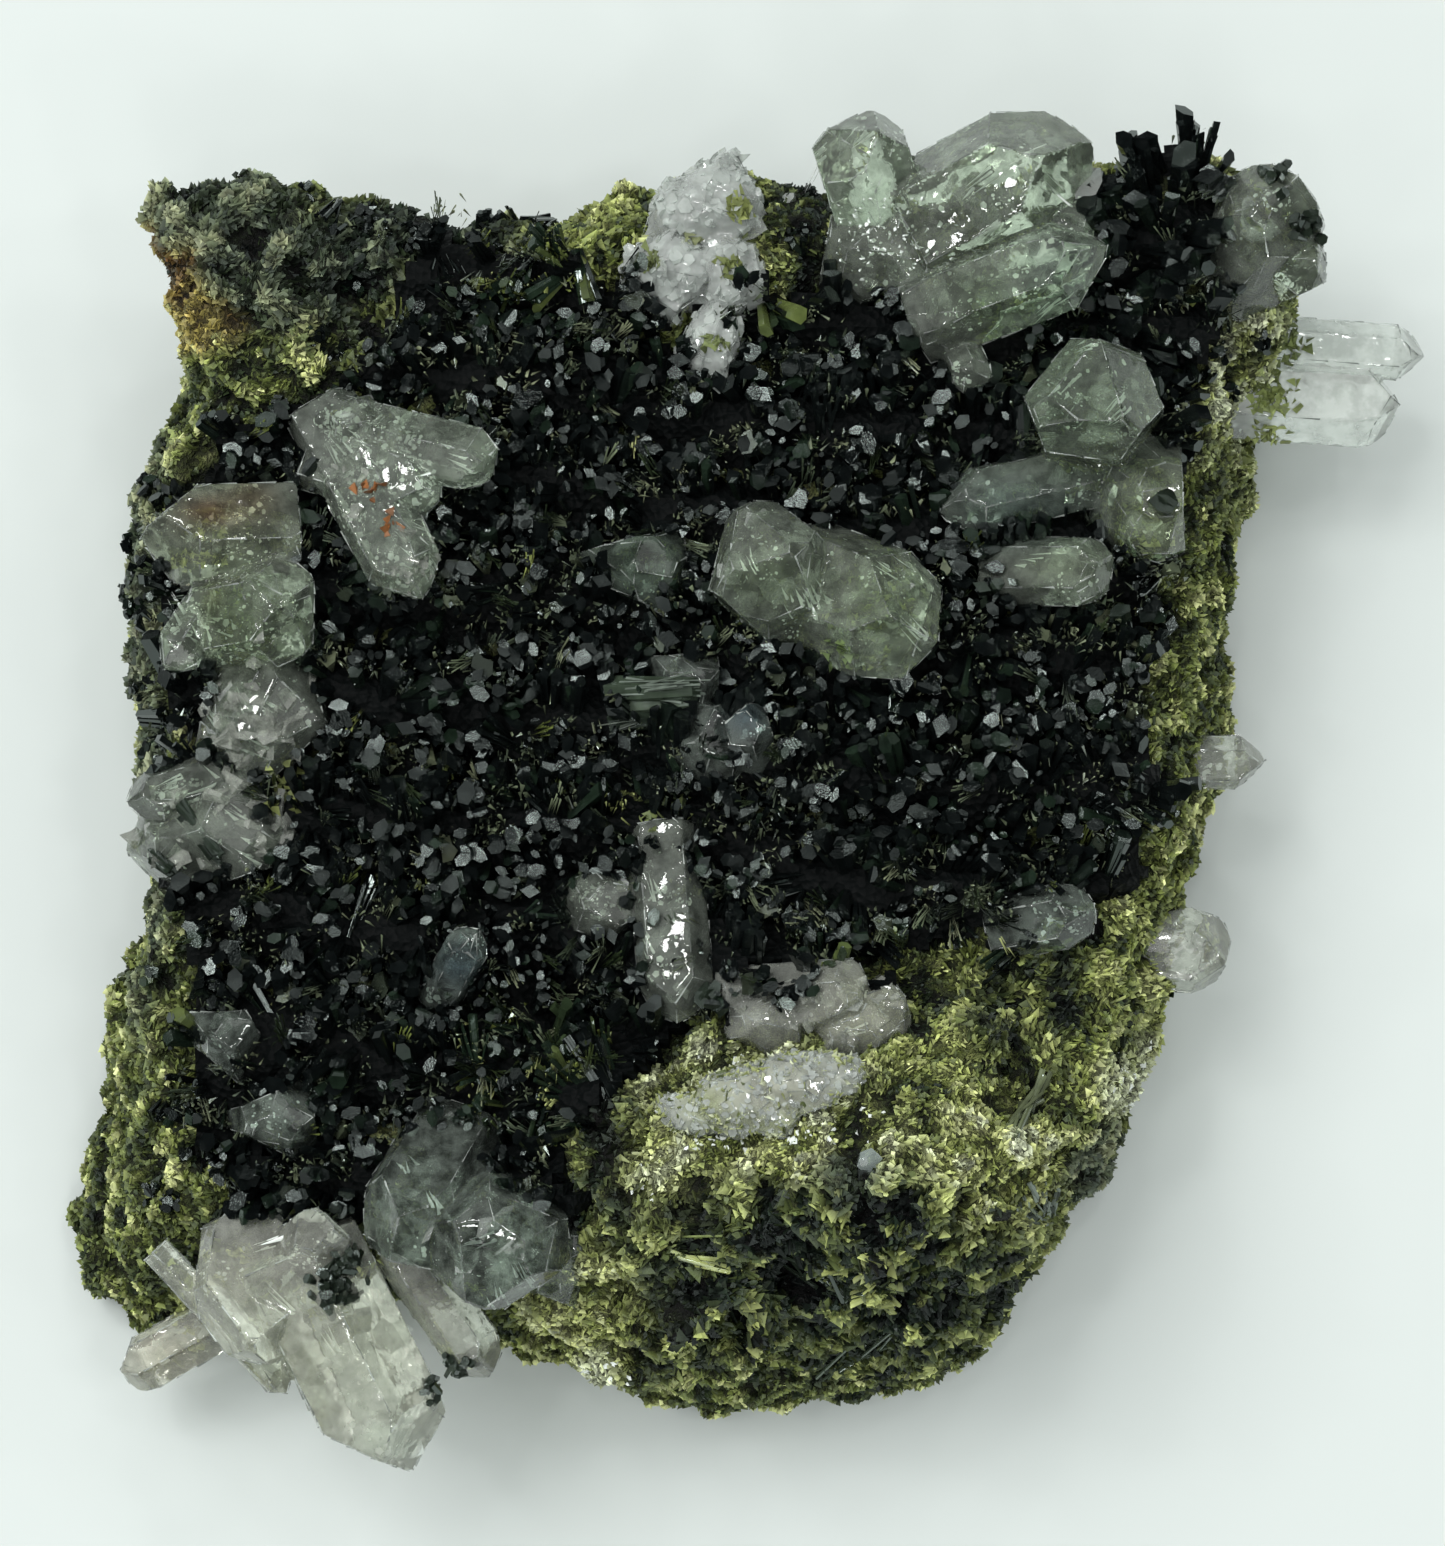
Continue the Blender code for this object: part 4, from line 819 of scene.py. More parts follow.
# %% Colours and zones
COLOURS = {
    "black": (0.003, 0.004, 0.004),
    "bottle": (0.010, 0.018, 0.011),
    "deep": (0.024, 0.036, 0.015),
    "olive": (0.090, 0.113, 0.034),
    "moss": (0.200, 0.240, 0.062),
    "pistachio": (0.370, 0.410, 0.140),
    "straw": (0.600, 0.630, 0.285),
    "grey_green": (0.150, 0.180, 0.110),
    "slate": (0.052, 0.066, 0.046),
    "pale": (0.600, 0.640, 0.440),
    "rust": (0.120, 0.076, 0.028),
    "brick": (0.200, 0.095, 0.030),
    "ochre": (0.420, 0.350, 0.105),
    "dust": (0.270, 0.290, 0.180),
}
RAMPS = {
    "grey": ["black", "deep", "slate", "grey_green", "dust"],
    "dark": ["black", "black", "bottle", "slate", "grey_green"],
    "forest": ["black", "black", "bottle", "olive", "pistachio"],
    "olive": ["black", "deep", "olive", "moss", "straw"],
    "moss": ["black", "deep", "moss", "pistachio", "straw"],
    "pistachio": ["deep", "moss", "pistachio", "straw", "pale"],
    "straw": ["deep", "olive", "pistachio", "pale", "pale"],
    "rust": ["bottle", "rust", "brick", "ochre", "ochre"],
    "ochre": ["bottle", "rust", "ochre", "ochre", "straw"],
    "white": ["olive", "pistachio", "pale", "pale", "pale"],
    "druse": ["black", "black", "black", "black", "bottle"],
    "dark green": ["black", "bottle", "bottle", "deep", "olive"],
}
ZONES = {
    "corner": (235, 245, 110, 80, 1.0, "grey", 0.10, 1.25),
    "rust": (176, 276, 34, 36, 1.9, "rust", 0.0, 0.9),
    "ochre": (204, 318, 40, 36, 2.2, "ochre", 0.0, 0.8),
    "corner front": (235, 392, 90, 36, 1.0, "olive", 0.25, 1.0),
    "back dark": (420, 250, 110, 80, 1.0, "dark", 0.55, 1.3),
    "gold at the back": (540, 275, 60, 34, 1.1, "moss", 0.55, 1.0),
    "gold in the corner": (400, 318, 26, 44, 1.3, "moss", 0.3, 1.0),
    "light in the corner": (330, 190, 60, 22, 0.9, "olive", 0.1, 1.0),
    "shelf rim": (670, 176, 110, 18, 1.4, "moss", 0.1, 0.8),
    "shelf": (620, 240, 110, 60, 1.0, "moss", 0.4, 1.1),
    "yellow at the back": (790, 215, 34, 70, 1.6, "forest", 0.2, 0.9),
    "right margin": (1245, 420, 60, 80, 1.4, "straw", 0.1, 0.8),
    "right wall": (1215, 650, 60, 200, 1.2, "olive", 0.2, 0.9),
    "right low": (1150, 1030, 70, 120, 1.0, "moss", 0.3, 1.0),
    "hump crest": (740, 1130, 130, 60, 1.8, "pistachio", 0.1, 0.7),
    "hump back": (930, 1030, 100, 60, 1.5, "moss", 0.15, 0.8),
    "hump right": (1000, 1165, 46, 55, 1.7, "pistachio", 0.15, 0.8),
    "hump face": (830, 1275, 160, 100, 1.5, "forest", 0.6, 1.5),
    "hump foot": (790, 1400, 200, 24, 1.4, "olive", 0.2, 0.9),
    "dark beside the hump": (1000, 1015, 50, 48, 1.6, "forest", 0.6, 1.3),
    "dark left of the hump": (590, 1140, 42, 90, 1.6, "forest", 0.4, 1.1),
    "grey rim": (1108, 1185, 28, 50, 1.8, "grey", 0.2, 1.0),
    "hump left": (600, 1330, 50, 70, 1.5, "pistachio", 0.15, 0.8),
    "left low": (100, 1220, 60, 110, 1.0, "olive", 0.15, 0.9),
    "left wall": (130, 700, 40, 330, 0.9, "grey", 0.2, 1.0),
    "pale round the patch": (760, 1100, 120, 44, 2.0, "straw", 0.0, 0.7),
    "pale on the crest": (680, 1160, 40, 20, 1.6, "straw", 0.0, 0.7),
    "grey on the crest": (850, 1175, 46, 26, 1.5, "grey", 0.3, 1.0),
    "white at the right": (1133, 1082, 22, 46, 2.4, "white", 0.0, 0.8),
    "white at the foot": (604, 1372, 26, 16, 2.2, "white", 0.0, 0.8),
    "white at the front": (850, 1402, 44, 10, 1.8, "white", 0.0, 0.8),
}
EVERYWHERE = (0, 0, 1, 1, 0.25, "olive", 0.3, 1.0)
WARPS = ((4.0, 26.0), (13.0, 36.0))
FADING = ("rust", "ochre", "corner", "back dark", "yellow at the back", "left wall")
FADE_BELOW = 20.0
FADE_OVER = 9.0
FADE_SWAY = 2.5
FADE_SHARE = 0.85
PATCH_SIZE = 3.2
PATCH_SWING = 0.55
SPECKLE_SIZE = 1.1
SPECKLE_SWING = 0.25
# The depth in a hollow, in millimetres, at which the painted shade takes a spot from the middle of its ramp
# to the dark end.
FULL_SHADE_DEPTH = 0.75


def wave(points, size, seed=0.0):
    """Smooth noise from about -1 to 1, at rows of points in millimetres."""
    shift = Vector((seed, 2.0 * seed, 3.0 * seed))
    return np.array([noise.noise(Vector(point) / size + shift) for point in points])


def zone_shares(points):
    """How strongly each zone pulls at each point: one row for each zone, and a last one for the rest."""
    u, v = pixels_of(points)
    for size, warp in WARPS:
        u = u + warp * wave(points, size, 5.0)
        v = v + warp * wave(points, size, 9.0)
    pull = [zone[4] * np.exp(-(((u - zone[0]) / zone[2]) ** 2) - ((v - zone[1]) / zone[3]) ** 2)
            for zone in ZONES.values()]
    low = (FADE_BELOW - points[:, 2] + FADE_SWAY * wave(points, 6.0)) / FADE_OVER
    fading = 1.0 - FADE_SHARE * np.clip(low, 0.0, 1.0)
    pull = [strength * (fading if name in FADING else 1.0) for name, strength in zip(ZONES, pull)]
    pull = np.stack(pull + [np.full(len(u), EVERYWHERE[4])]) ** 3
    return pull / pull.sum(axis=0)


def ramp_colours(ramp, height):
    """Colours along a ramp, from 0 in a hollow to 1 on a crest: the dark end is painted shade."""
    colours = np.array([COLOURS[name] for name in RAMPS[ramp]])
    stops = np.linspace(0.0, 1.0, len(colours))
    return np.stack([np.interp(height, stops, colours[:, k]) for k in range(3)], axis=-1)


def rock_colours(points, depth, shares):
    """The rock's colour at rows of points that lie this deep in a hollow, darker the deeper, as painted
    shade.
    """
    patches = PATCH_SWING * wave(points, PATCH_SIZE) + SPECKLE_SWING * wave(points, SPECKLE_SIZE)
    # Painted shade and painted light: deep points take the dark end of the ramp, crests the light end.
    height = np.clip(0.5 - 0.5 * depth / FULL_SHADE_DEPTH + patches, 0.0, 1.0)
    ramps = [zone[5] for zone in [*ZONES.values(), EVERYWHERE]]
    return sum(share[:, None] * ramp_colours(ramp, height) for share, ramp in zip(shares, ramps))


# %% Paint the rock
# Painted shade: the rock under the grains is darkened, so that the gaps between them look shaded.
PAINTED_SHADE_UNDER_GRAINS = 0.4

rock_spots = places_of(rock)
paint(rock, PAINTED_SHADE_UNDER_GRAINS * rock_colours(rock_spots, rock_depth, zone_shares(rock_spots)))
finish_piece(rock, "granular_rock", rock_finish, "green_epidote_rock", "matrix")
rock_tree = tree_of(rock)

# %% [markdown]
# ## The druse's crust
# The dark crystals stand on a thin crust that follows the slab's top in low ridges from side to side. A
# fine grid is dropped onto the solid with Shrinkwrap, as a sheet of dough onto a stone, its vertices are
# raised by the ridges' formula, what lies outside the druse is deleted, and Solidify gives it a body.

# %% Drape the crust
CRUST_PITCH = 1.0
CRUST_LIFT = 0.7
CRUST_BODY = 2.5 * MM
RIDGE_RISE = 1.0
RIDGE_PITCH = 10.5
UNDER_QUARTZ = 4.0 * MM

druse_low, druse_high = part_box("epidote_druse")
druse_middle, druse_span = (druse_low + druse_high) / 2, druse_high - druse_low
bpy.ops.object.select_all(action="DESELECT")
bpy.ops.mesh.primitive_grid_add(
    x_subdivisions=int(druse_span.x / MM / CRUST_PITCH),
    y_subdivisions=int(druse_span.y / MM / CRUST_PITCH),
    size=1.0,
    location=(druse_middle.x, druse_middle.y, druse_high.z + 10.0 * MM),
)
crust = bpy.context.object
bpy.ops.object.mode_set(mode="EDIT")
bpy.ops.transform.resize(value=(druse_span.x, druse_span.y, 1.0), center_override=crust.location)
bpy.ops.object.mode_set(mode="OBJECT")
bpy.ops.object.transform_apply(location=True, rotation=True, scale=True)
shape_with(crust, "SHRINKWRAP", target=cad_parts["matrix"], wrap_method="PROJECT",
           use_project_z=True, use_negative_direction=True, use_positive_direction=False)
shape_with(crust, "SMOOTH", factor=0.5, iterations=3)


def ridge(x, y):
    """How far the crust rises or falls at a place, in millimetres."""
    sway = 2.0 * noise.noise(Vector((x * 0.03, y * 0.05, 3.0)))
    return RIDGE_RISE * math.sin(math.tau * (y + 0.12 * x) / RIDGE_PITCH + sway)


for vert in crust.data.vertices:
    bumps = 0.5 * noise.noise(vert.co / (1.5 * MM))
    vert.co.z += (CRUST_LIFT + ridge(vert.co.x / MM, vert.co.y / MM) + bumps) * MM

# %% Trim the crust to the druse and give it a body
down = Vector((0.0, 0.0, -1.0))
druse_tree = tree_of(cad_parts["epidote_druse"])


def over_druse(x, y):
    """Whether the druse, or quartz that stands in it, lies under a place given in metres."""
    start = Vector((x, y, 0.1))
    if druse_tree.ray_cast(start, down)[0]:
        return True
    spot = quartz_tree.ray_cast(start, down)[0]
    return bool(spot) and druse_tree.find_nearest(spot)[3] < UNDER_QUARTZ


def in_spots(u, v, spots):
    """How much pixels u and v lie in soft elliptic spots, each (u, v, reach across, reach down, share)."""
    total = np.zeros(len(u))
    for spot_u, spot_v, across_spot, down_spot, share in spots:
        total += share * np.exp(-(((u - spot_u) / across_spot) ** 2) - ((v - spot_v) / down_spot) ** 2)
    return np.clip(total, 0.0, 1.0)


BARE_SPOTS = [(418, 188, 40, 26, 1.0), (190, 455, 26, 26, 1.0), (172, 262, 18, 18, 1.0)]
BARE_FROM = 0.2


def bare(points):
    """Which rows of points in millimetres lie where the photograph shows bare rock at the druse's edge."""
    return in_spots(*pixels_of(points), BARE_SPOTS) > BARE_FROM


take(crust)
bpy.ops.object.mode_set(mode="EDIT")
bpy.ops.mesh.select_mode(type="FACE")
select_by(
    crust, "polygons",
    lambda middle: not over_druse(middle.x, middle.y) or bare(np.array([middle]) / MM)[0]
)
bpy.ops.mesh.delete(type="FACE")
bpy.ops.mesh.select_mode(type="VERT")
bpy.ops.object.mode_set(mode="OBJECT")
shape_with(crust, "SOLIDIFY", thickness=CRUST_BODY, offset=-1.0)
finish_piece(crust, "druse_crust", crust_finish, "dark_epidote", "epidote_druse")
crust_tree = tree_of(crust)

# %% [markdown]
# ## Epidote crystals
# An epidote crystal is a grooved prism with a flattened, six-sided section. Its end is a flat facet,
# straight or aslant, a chisel, or a step. A few such crystals are modelled once, by cutting a six-sided
# cylinder, with the tip at the origin and the root one unit below. They are copied by the thousand into
# joined meshes, each copy stretched to its own length and width, so that no two look alike.


# %% Model the crystals to copy
def model_crystal(name, flatness, cuts, sides=6, uneven=0.0, seed=1, root=0.72):
    """A crystal one unit wide. Each cut is (point, normal) of a facet at its tip. root narrows its foot."""
    rng = random.Random(seed)
    bpy.ops.object.select_all(action="DESELECT")
    bpy.ops.mesh.primitive_cylinder_add(vertices=sides, radius=0.5, depth=1.6, location=(0.0, 0.0, -0.2))
    obj = bpy.context.object
    bpy.ops.object.transform_apply(location=True, rotation=True, scale=True)
    corners = [rng.uniform(1.0 - uneven, 1.0 + uneven) for _ in range(sides)]
    for vert in obj.data.vertices:
        corner = round(math.atan2(vert.co.y, vert.co.x) / math.tau * sides) % sides
        vert.co.x *= corners[corner]
        vert.co.y *= corners[corner] * flatness
    bpy.ops.object.mode_set(mode="EDIT")
    for point, normal in cuts:
        keep_behind(point, Vector(normal).normalized())
    select_by(obj, "vertices", lambda place: place.z < -0.9)
    bpy.ops.transform.resize(value=(root, root, 1.0), center_override=(0.0, 0.0, -1.0))
    if root == 0.0:
        bpy.ops.mesh.merge(type="CENTER")
    bpy.ops.mesh.select_all(action="SELECT")
    bpy.ops.mesh.normals_make_consistent(inside=False)
    bpy.ops.object.mode_set(mode="OBJECT")
    places = np.array([vert.co for vert in obj.data.vertices])
    faces = [list(face.vertices) for face in obj.data.polygons]
    bpy.data.objects.remove(obj)
    print(name, len(faces), "faces")
    return places, faces


MODELS = [
    model_crystal("flat end", 0.72, [((0, 0, 0), (0.05, 0.03, 1))], uneven=0.16, seed=2),
    model_crystal("broad flat end", 0.60, [((0, 0, 0), (-0.08, 0.1, 1))], uneven=0.28, seed=3),
    model_crystal("end aslant", 0.80, [((0, 0, 0), (0.45, 0.1, 1))], uneven=0.2, seed=4),
    model_crystal("lozenge end", 0.62, [((0, 0, 0), (0.1, 0.2, 1))], sides=4, uneven=0.15, seed=5),
    model_crystal("chisel end", 0.66, [((0, 0.06, 0), (0.1, 0.6, 1)), ((0, -0.06, 0), (0, -0.5, 1))],
                  uneven=0.15, seed=6),
    model_crystal("end with a cut corner", 0.85,
                  [((0, 0, 0), (-0.1, 0.08, 1)), ((0.25, 0, 0), (1, 0.2, 0.9))], uneven=0.2, seed=7),
    model_crystal("lath", 0.38, [((0, 0, 0), (0.3, 0, 1)), ((0.2, 0, 0), (1, 0, 0.6))]),
    model_crystal("blade", 0.30, [((0, 0, 0), (0.9, 0, 1)), ((0, 0, 0), (-0.5, 0, 1))]),
    model_crystal("grain", 0.9, [((0, 0, 0), (0.6, 0.3, 1)), ((0, 0, 0), (-0.5, -0.6, 1))], sides=4,
                  uneven=0.25, seed=8, root=0.0),
    model_crystal("blunt grain", 0.8, [((0, 0, 0), (0.5, -0.3, 1))], sides=5, uneven=0.3, seed=9, root=0.0),
    model_crystal("needle", 0.6, [((0, 0, 0), (0.6, 0.3, 1))], sides=4, root=0.0),
    model_crystal("shard", 0.34, [((0, 0, 0), (0.5, 0.2, 1)), ((-0.1, 0, 0), (-0.7, 0.1, 1))], sides=5,
                  uneven=0.4, seed=21, root=0.0),
    model_crystal("broken shard", 0.42, [((0, 0, 0), (-0.3, -0.4, 1)), ((0.2, 0, 0), (1.2, 0.3, 0.8))],
                  sides=4, uneven=0.35, seed=22, root=0.0),
    model_crystal("torn plate", 0.75, [((0, 0, 0), (0.1, 0.07, 1))], sides=8, uneven=0.45, seed=23,
                  root=0.0),
    (np.array([(-0.50, 0.04, -0.18), (0.50, -0.04, 0.0), (0.16, 0.24, -1.0), (-0.12, -0.26, -1.0)]),
     [[0, 1, 2], [1, 0, 3], [2, 3, 0], [3, 2, 1]]),
    (np.array([(0.5, 0.1, 0.0), (0.1, 0.45, 0.0), (-0.4, 0.25, 0.0), (-0.35, -0.3, 0.0), (0.2, -0.4, 0.0)]),
     [[0, 1, 2, 3, 4]]),
    (np.array([(0.50, 0.00, 0.0), (0.30, 0.25, 0.06), (0.05, 0.20, 0.0), (-0.15, 0.38, -0.05),
               (-0.42, 0.15, 0.0), (-0.35, -0.12, 0.04), (-0.10, -0.36, 0.0), (0.22, -0.22, -0.06)]),
     [[0, 1, 2, 7], [2, 3, 4, 5], [2, 5, 6, 7]]),
]
(FLAT, BROAD, ASLANT, LOZENGE, CHISEL, STEP, LATH, BLADE, GRAIN, BLUNT, NEEDLE,
 SHARD, BROKEN, TORN, SPLINTER, FLECK, CRACK) = range(len(MODELS))


# %% Copy them into joined meshes
TIP_ROOM = 0.5


def across(directions):
    """Two unit rows at right angles to each row of directions."""
    helper = np.where(np.abs(directions[:, 2:]) < 0.9, [[0.0, 0.0, 1.0]], [[1.0, 0.0, 0.0]])
    first = np.cross(directions, helper)
    first /= np.linalg.norm(first, axis=1, keepdims=True)
    return first, np.cross(directions, first)


def copies(model, rows, painted_root_shade):
    """The vertices, faces and attributes of one model's copies. A row is a crystal, in millimetres."""
    places, faces = model
    tip, direction = rows[:, 1:4], rows[:, 4:7]
    turn, length, width, tint = rows[:, 7], rows[:, 8], rows[:, 9], rows[:, 10:13]
    first, second = across(direction)
    cosine, sine = np.cos(turn)[:, None], np.sin(turn)[:, None]
    side, front = first * cosine + second * sine, second * cosine - first * sine
    root = places[:, 2] < -0.9
    x = places[None, :, 0] * width[:, None]
    y = places[None, :, 1] * width[:, None]
    z = np.where(root[None, :], -length[:, None], places[None, :, 2] * width[:, None])
    spots = tip[:, None] + x[..., None] * side[:, None] + y[..., None] * front[:, None]
    spots += z[..., None] * direction[:, None]
    grown = np.stack([x, y, z + tip.sum(axis=1)[:, None]], axis=-1)
    # Painted shade: the root end of every copy is darkened by this factor.
    tints = tint[:, None] * np.where(root, painted_root_shade, 1.0)[None, :, None]
    corners = np.concatenate([np.array(face) for face in faces])
    sizes = np.array([len(face) for face in faces])
    corners = (corners[None] + len(places) * np.arange(len(rows))[:, None]).ravel()
    sizes = np.tile(sizes, len(rows))
    return spots.reshape(-1, 3), corners, sizes, tints.reshape(-1, 3), grown.reshape(-1, 3)


def plant(name, rows, material, slot, *nodes, painted_root_shade=1.0):
    """One piece from a list of crystals: (model, tip, direction, turn, length, width, tint)."""
    rows = np.array(rows)
    inside = (rows[:, 1:4] > np.array(cad_low) / MM) & (rows[:, 1:4] < np.array(cad_high) / MM - TIP_ROOM)
    rows = rows[inside.all(axis=1)]
    parts = []
    for number, model in enumerate(MODELS):
        chosen = rows[rows[:, 0] == number]
        if len(chosen):
            parts.append(copies(model, chosen, painted_root_shade))
    starts = np.cumsum([0] + [len(part[0]) for part in parts])
    spots = np.concatenate([part[0] for part in parts])
    corners = np.concatenate([part[1] + start for part, start in zip(parts, starts)])
    sizes = np.concatenate([part[2] for part in parts])
    mesh = bpy.data.meshes.new(name)
    mesh.vertices.add(len(spots))
    spots[:, 2] = np.maximum(spots[:, 2], 0.0)
    mesh.vertices.foreach_set("co", (spots * MM).ravel())
    mesh.loops.add(len(corners))
    mesh.loops.foreach_set("vertex_index", corners)
    mesh.polygons.add(len(sizes))
    mesh.polygons.foreach_set("loop_start", np.cumsum(sizes) - sizes)
    mesh.update(calc_edges=True)
    mesh.validate()
    grown = mesh.attributes.new("grown", "FLOAT_VECTOR", "POINT")
    grown.data.foreach_set("vector", np.concatenate([part[4] for part in parts]).ravel())
    mesh.shade_flat()
    obj = bpy.data.objects.new(name, mesh)
    bpy.context.scene.collection.objects.link(obj)
    paint(obj, np.concatenate([part[3] for part in parts]))
    return finish_piece(obj, name, material, slot, *nodes)


# %% [markdown]
# ## The druse
# The dark crystals grew in sprays: many prisms fan out from one root, and their flat ends make a dome of
# small facets. Some sprays are tight, with all their facets at one angle, so they flash together. Some
# lie on their side and show grooved laths. Sprays stand on a loose grid all over the crust, except where
# quartz fills the place.

# %% Sprays of dark crystals
SPRAY_SPACING = 2.8
SPRAY_ROOT = 2.2
FAN = (3.0, 30.0)
DRUSE_LENGTH = (1.3, 4.6)
DRUSE_WIDTH = (0.45, 2.50)
SPRAY_CROWD = (8, 13)
LEANING_SHARE = 0.14
SWAY = 0.75
SWAY_SIZE = 6.0
SWAY_SEEDS = (2.0, 4.0, 6.0)
QUARTZ_COVER = 0.25
LITTER_CROWD = (8, 22)
LITTER_REACH = np.array([0.75, 0.6, 0.45])
RAMP_LIGHT = (0.50, 0.92)
TORN_SHARE = 0.16
TORN_WIDTH = (0.9, 2.3)
TORN_LENGTH = 2.4
NEEDLE_WIDTH = (0.09, 0.20)
NEEDLE_SINK = 0.6


def tilted(rng, axis, degrees):
    """A unit vector near an axis, leaning from it by about this many degrees."""
    first, second = across(np.array([axis]))
    angle, lean = rng.uniform(0.0, math.tau), math.tan(math.radians(degrees))
    direction = axis + (first[0] * math.cos(angle) + second[0] * math.sin(angle)) * lean
    return direction / np.linalg.norm(direction)


def tint_from(rng, ramp):
    """One colour of a ramp, as a plain list, a little lighter or darker each time."""
    colour = ramp_colours(ramp, np.array([rng.random() ** 1.5]))[0]
    return list(colour * rng.uniform(0.8, 1.25))


def spray(rng, foot, axis, crowd, fan, lengths, widths, ramp, models):
    """Rows for the crystals that spread from one root, which lies under the foot."""
    root = foot - axis * SPRAY_ROOT
    rows = []
    for _ in range(crowd):
        direction = tilted(rng, axis, fan * math.sqrt(rng.random()))
        stoutness = rng.beta(1.2, 2.4)
        width = widths[0] + (widths[1] - widths[0]) * stoutness
        growth = 0.5 * stoutness + 0.5 * rng.random()
        length = lengths[0] + (lengths[1] - lengths[0]) * growth + SPRAY_ROOT
        offset = tilted(rng, axis, 89.0) * rng.uniform(0.0, 0.8)
        tip = root + offset + direction * length
        if in_quartz(tip, QUARTZ_COVER):
            continue
        tint = tint_from(rng, ramp)
        model = models[rng.integers(len(models))]
        rows.append([model, *tip, *direction, rng.uniform(0.0, math.tau), length, width, *tint])
    return rows


def tuft(rng, foot, normal):
    """Rows for a little brush of needles that leans out between the crystals."""
    axis = tilted(rng, normal, rng.uniform(30.0, 75.0))
    start = foot + normal * rng.uniform(0.8, 2.6) + tilted(rng, normal, 89.0) * rng.uniform(0.0, 1.4)
    tint = np.array(tint_from(rng, "grey" if rng.random() < 0.88 else "olive"))
    rows = []
    for _ in range(rng.integers(8, 16)):
        direction = tilted(rng, axis, rng.uniform(0.0, 20.0))
        out = rng.uniform(0.6, 2.4)
        tip = start + rng.normal(0.0, 0.25, 3) + direction * out
        if not in_quartz(tip):
            shade = rng.uniform(0.4, 1.1)
            width = rng.uniform(*NEEDLE_WIDTH)
            rows.append([NEEDLE, *tip, *direction, 0.0, out + NEEDLE_SINK, width, *(shade * tint)])
    return rows


def litter(rng, foot, normal, green):
    """Rows for a patch of tiny, light shards that grew among the crystals, and at times a torn plate."""
    place = RAMP_LIGHT[0] + (RAMP_LIGHT[1] - RAMP_LIGHT[0]) * rng.random() ** 1.5
    tint = ramp_colours("olive" if rng.random() < green else "grey", np.array([place]))[0]
    middle = foot + normal * rng.uniform(0.6, 2.6) + tilted(rng, normal, 89.0) * rng.uniform(0.0, 1.4)
    rows = []
    for _ in range(rng.integers(*LITTER_CROWD)):
        direction = tilted(rng, normal, rng.uniform(0.0, 70.0))
        tip = middle + rng.normal(0.0, 1.0, 3) * LITTER_REACH
        length = rng.uniform(0.5, 1.3)
        if not in_quartz(tip):
            shade = rng.uniform(0.35, 1.25)
            model = (SHARD, BROKEN, SPLINTER)[rng.integers(3)]
            width = rng.uniform(0.12, 0.50)
            turn = rng.uniform(0.0, math.tau)
            rows.append([model, *tip, *direction, turn, length, width, *(shade * tint)])
    if rng.random() < TORN_SHARE - green:
        direction = tilted(rng, normal, rng.uniform(0.0, 40.0))
        tip = foot + normal * rng.uniform(1.4, 3.2)
        if not in_quartz(tip):
            shade = rng.uniform(0.15, 0.45)
            turn, width = rng.uniform(0.0, math.tau), rng.uniform(*TORN_WIDTH)
            rows.append([TORN, *tip, *direction, turn, TORN_LENGTH, width, *(shade * tint)])
    return rows


def ground_under(x, y, tree):
    """The point and normal of a surface under a place in millimetres, as arrays, or None."""
    spot, normal, _, _ = tree.ray_cast(Vector((x * MM, y * MM, 0.1)), down)
    if spot is None:
        return None
    return np.array(spot) / MM, np.array(normal if normal.z > 0.0 else -normal)


# %% Where the druse turns green, slender or tall
GREEN_SPOTS = [
    (290, 790, 16, 26, 0.9), (300, 745, 12, 20, 0.4), (430, 785, 16, 20, 0.7), (500, 1040, 50, 28, 0.9),
    (575, 1060, 45, 26, 0.7), (470, 560, 16, 14, 0.3), (560, 262, 34, 20, 0.9), (515, 290, 40, 22, 0.8),
    (620, 800, 30, 40, 0.3), (260, 855, 14, 20, 0.8), (300, 1120, 20, 20, 0.3), (480, 1130, 60, 30, 0.5),
    (560, 1120, 50, 50, 0.6), (700, 1035, 60, 24, 0.5), (890, 960, 60, 20, 0.4), (1000, 1000, 60, 30, 0.4),
    (1000, 1020, 50, 40, 0.5), (170, 1000, 24, 60, 0.4), (420, 620, 14, 10, 0.4), (760, 300, 30, 30, 0.5),
    (720, 380, 16, 20, 0.4),
]
NEEDLE_SPOTS = [
    (950, 930, 140, 50, 0.8), (560, 1000, 140, 60, 0.7), (530, 1110, 130, 50, 0.8),
    (500, 250, 130, 70, 0.7), (1110, 930, 60, 80, 0.8), (180, 1060, 40, 90, 0.5),
    (620, 720, 50, 50, 0.4), (1120, 560, 60, 40, 0.4),
]
TALL_SPOTS = [
    (1150, 215, 60, 80, 1.0), (1290, 170, 40, 50, 0.9), (890, 260, 60, 40, 0.5), (1230, 300, 60, 30, 0.6),
]
DARK_SPOTS = [
    (150, 440, 50, 75, 1.0), (150, 600, 30, 90, 0.8), (165, 700, 40, 60, 1.0), (150, 830, 30, 60, 0.7),
    (165, 1050, 40, 90, 0.4), (175, 1190, 26, 40, 0.8), (430, 230, 100, 60, 0.9), (360, 200, 60, 36, 0.6),
    (520, 215, 60, 36, 0.5), (1215, 320, 50, 60, 0.5), (310, 320, 90, 50, 0.35), (890, 240, 46, 40, 0.9),
    (830, 235, 30, 30, 0.6), (1150, 930, 50, 70, 0.5), (640, 1000, 60, 40, 0.5),
]

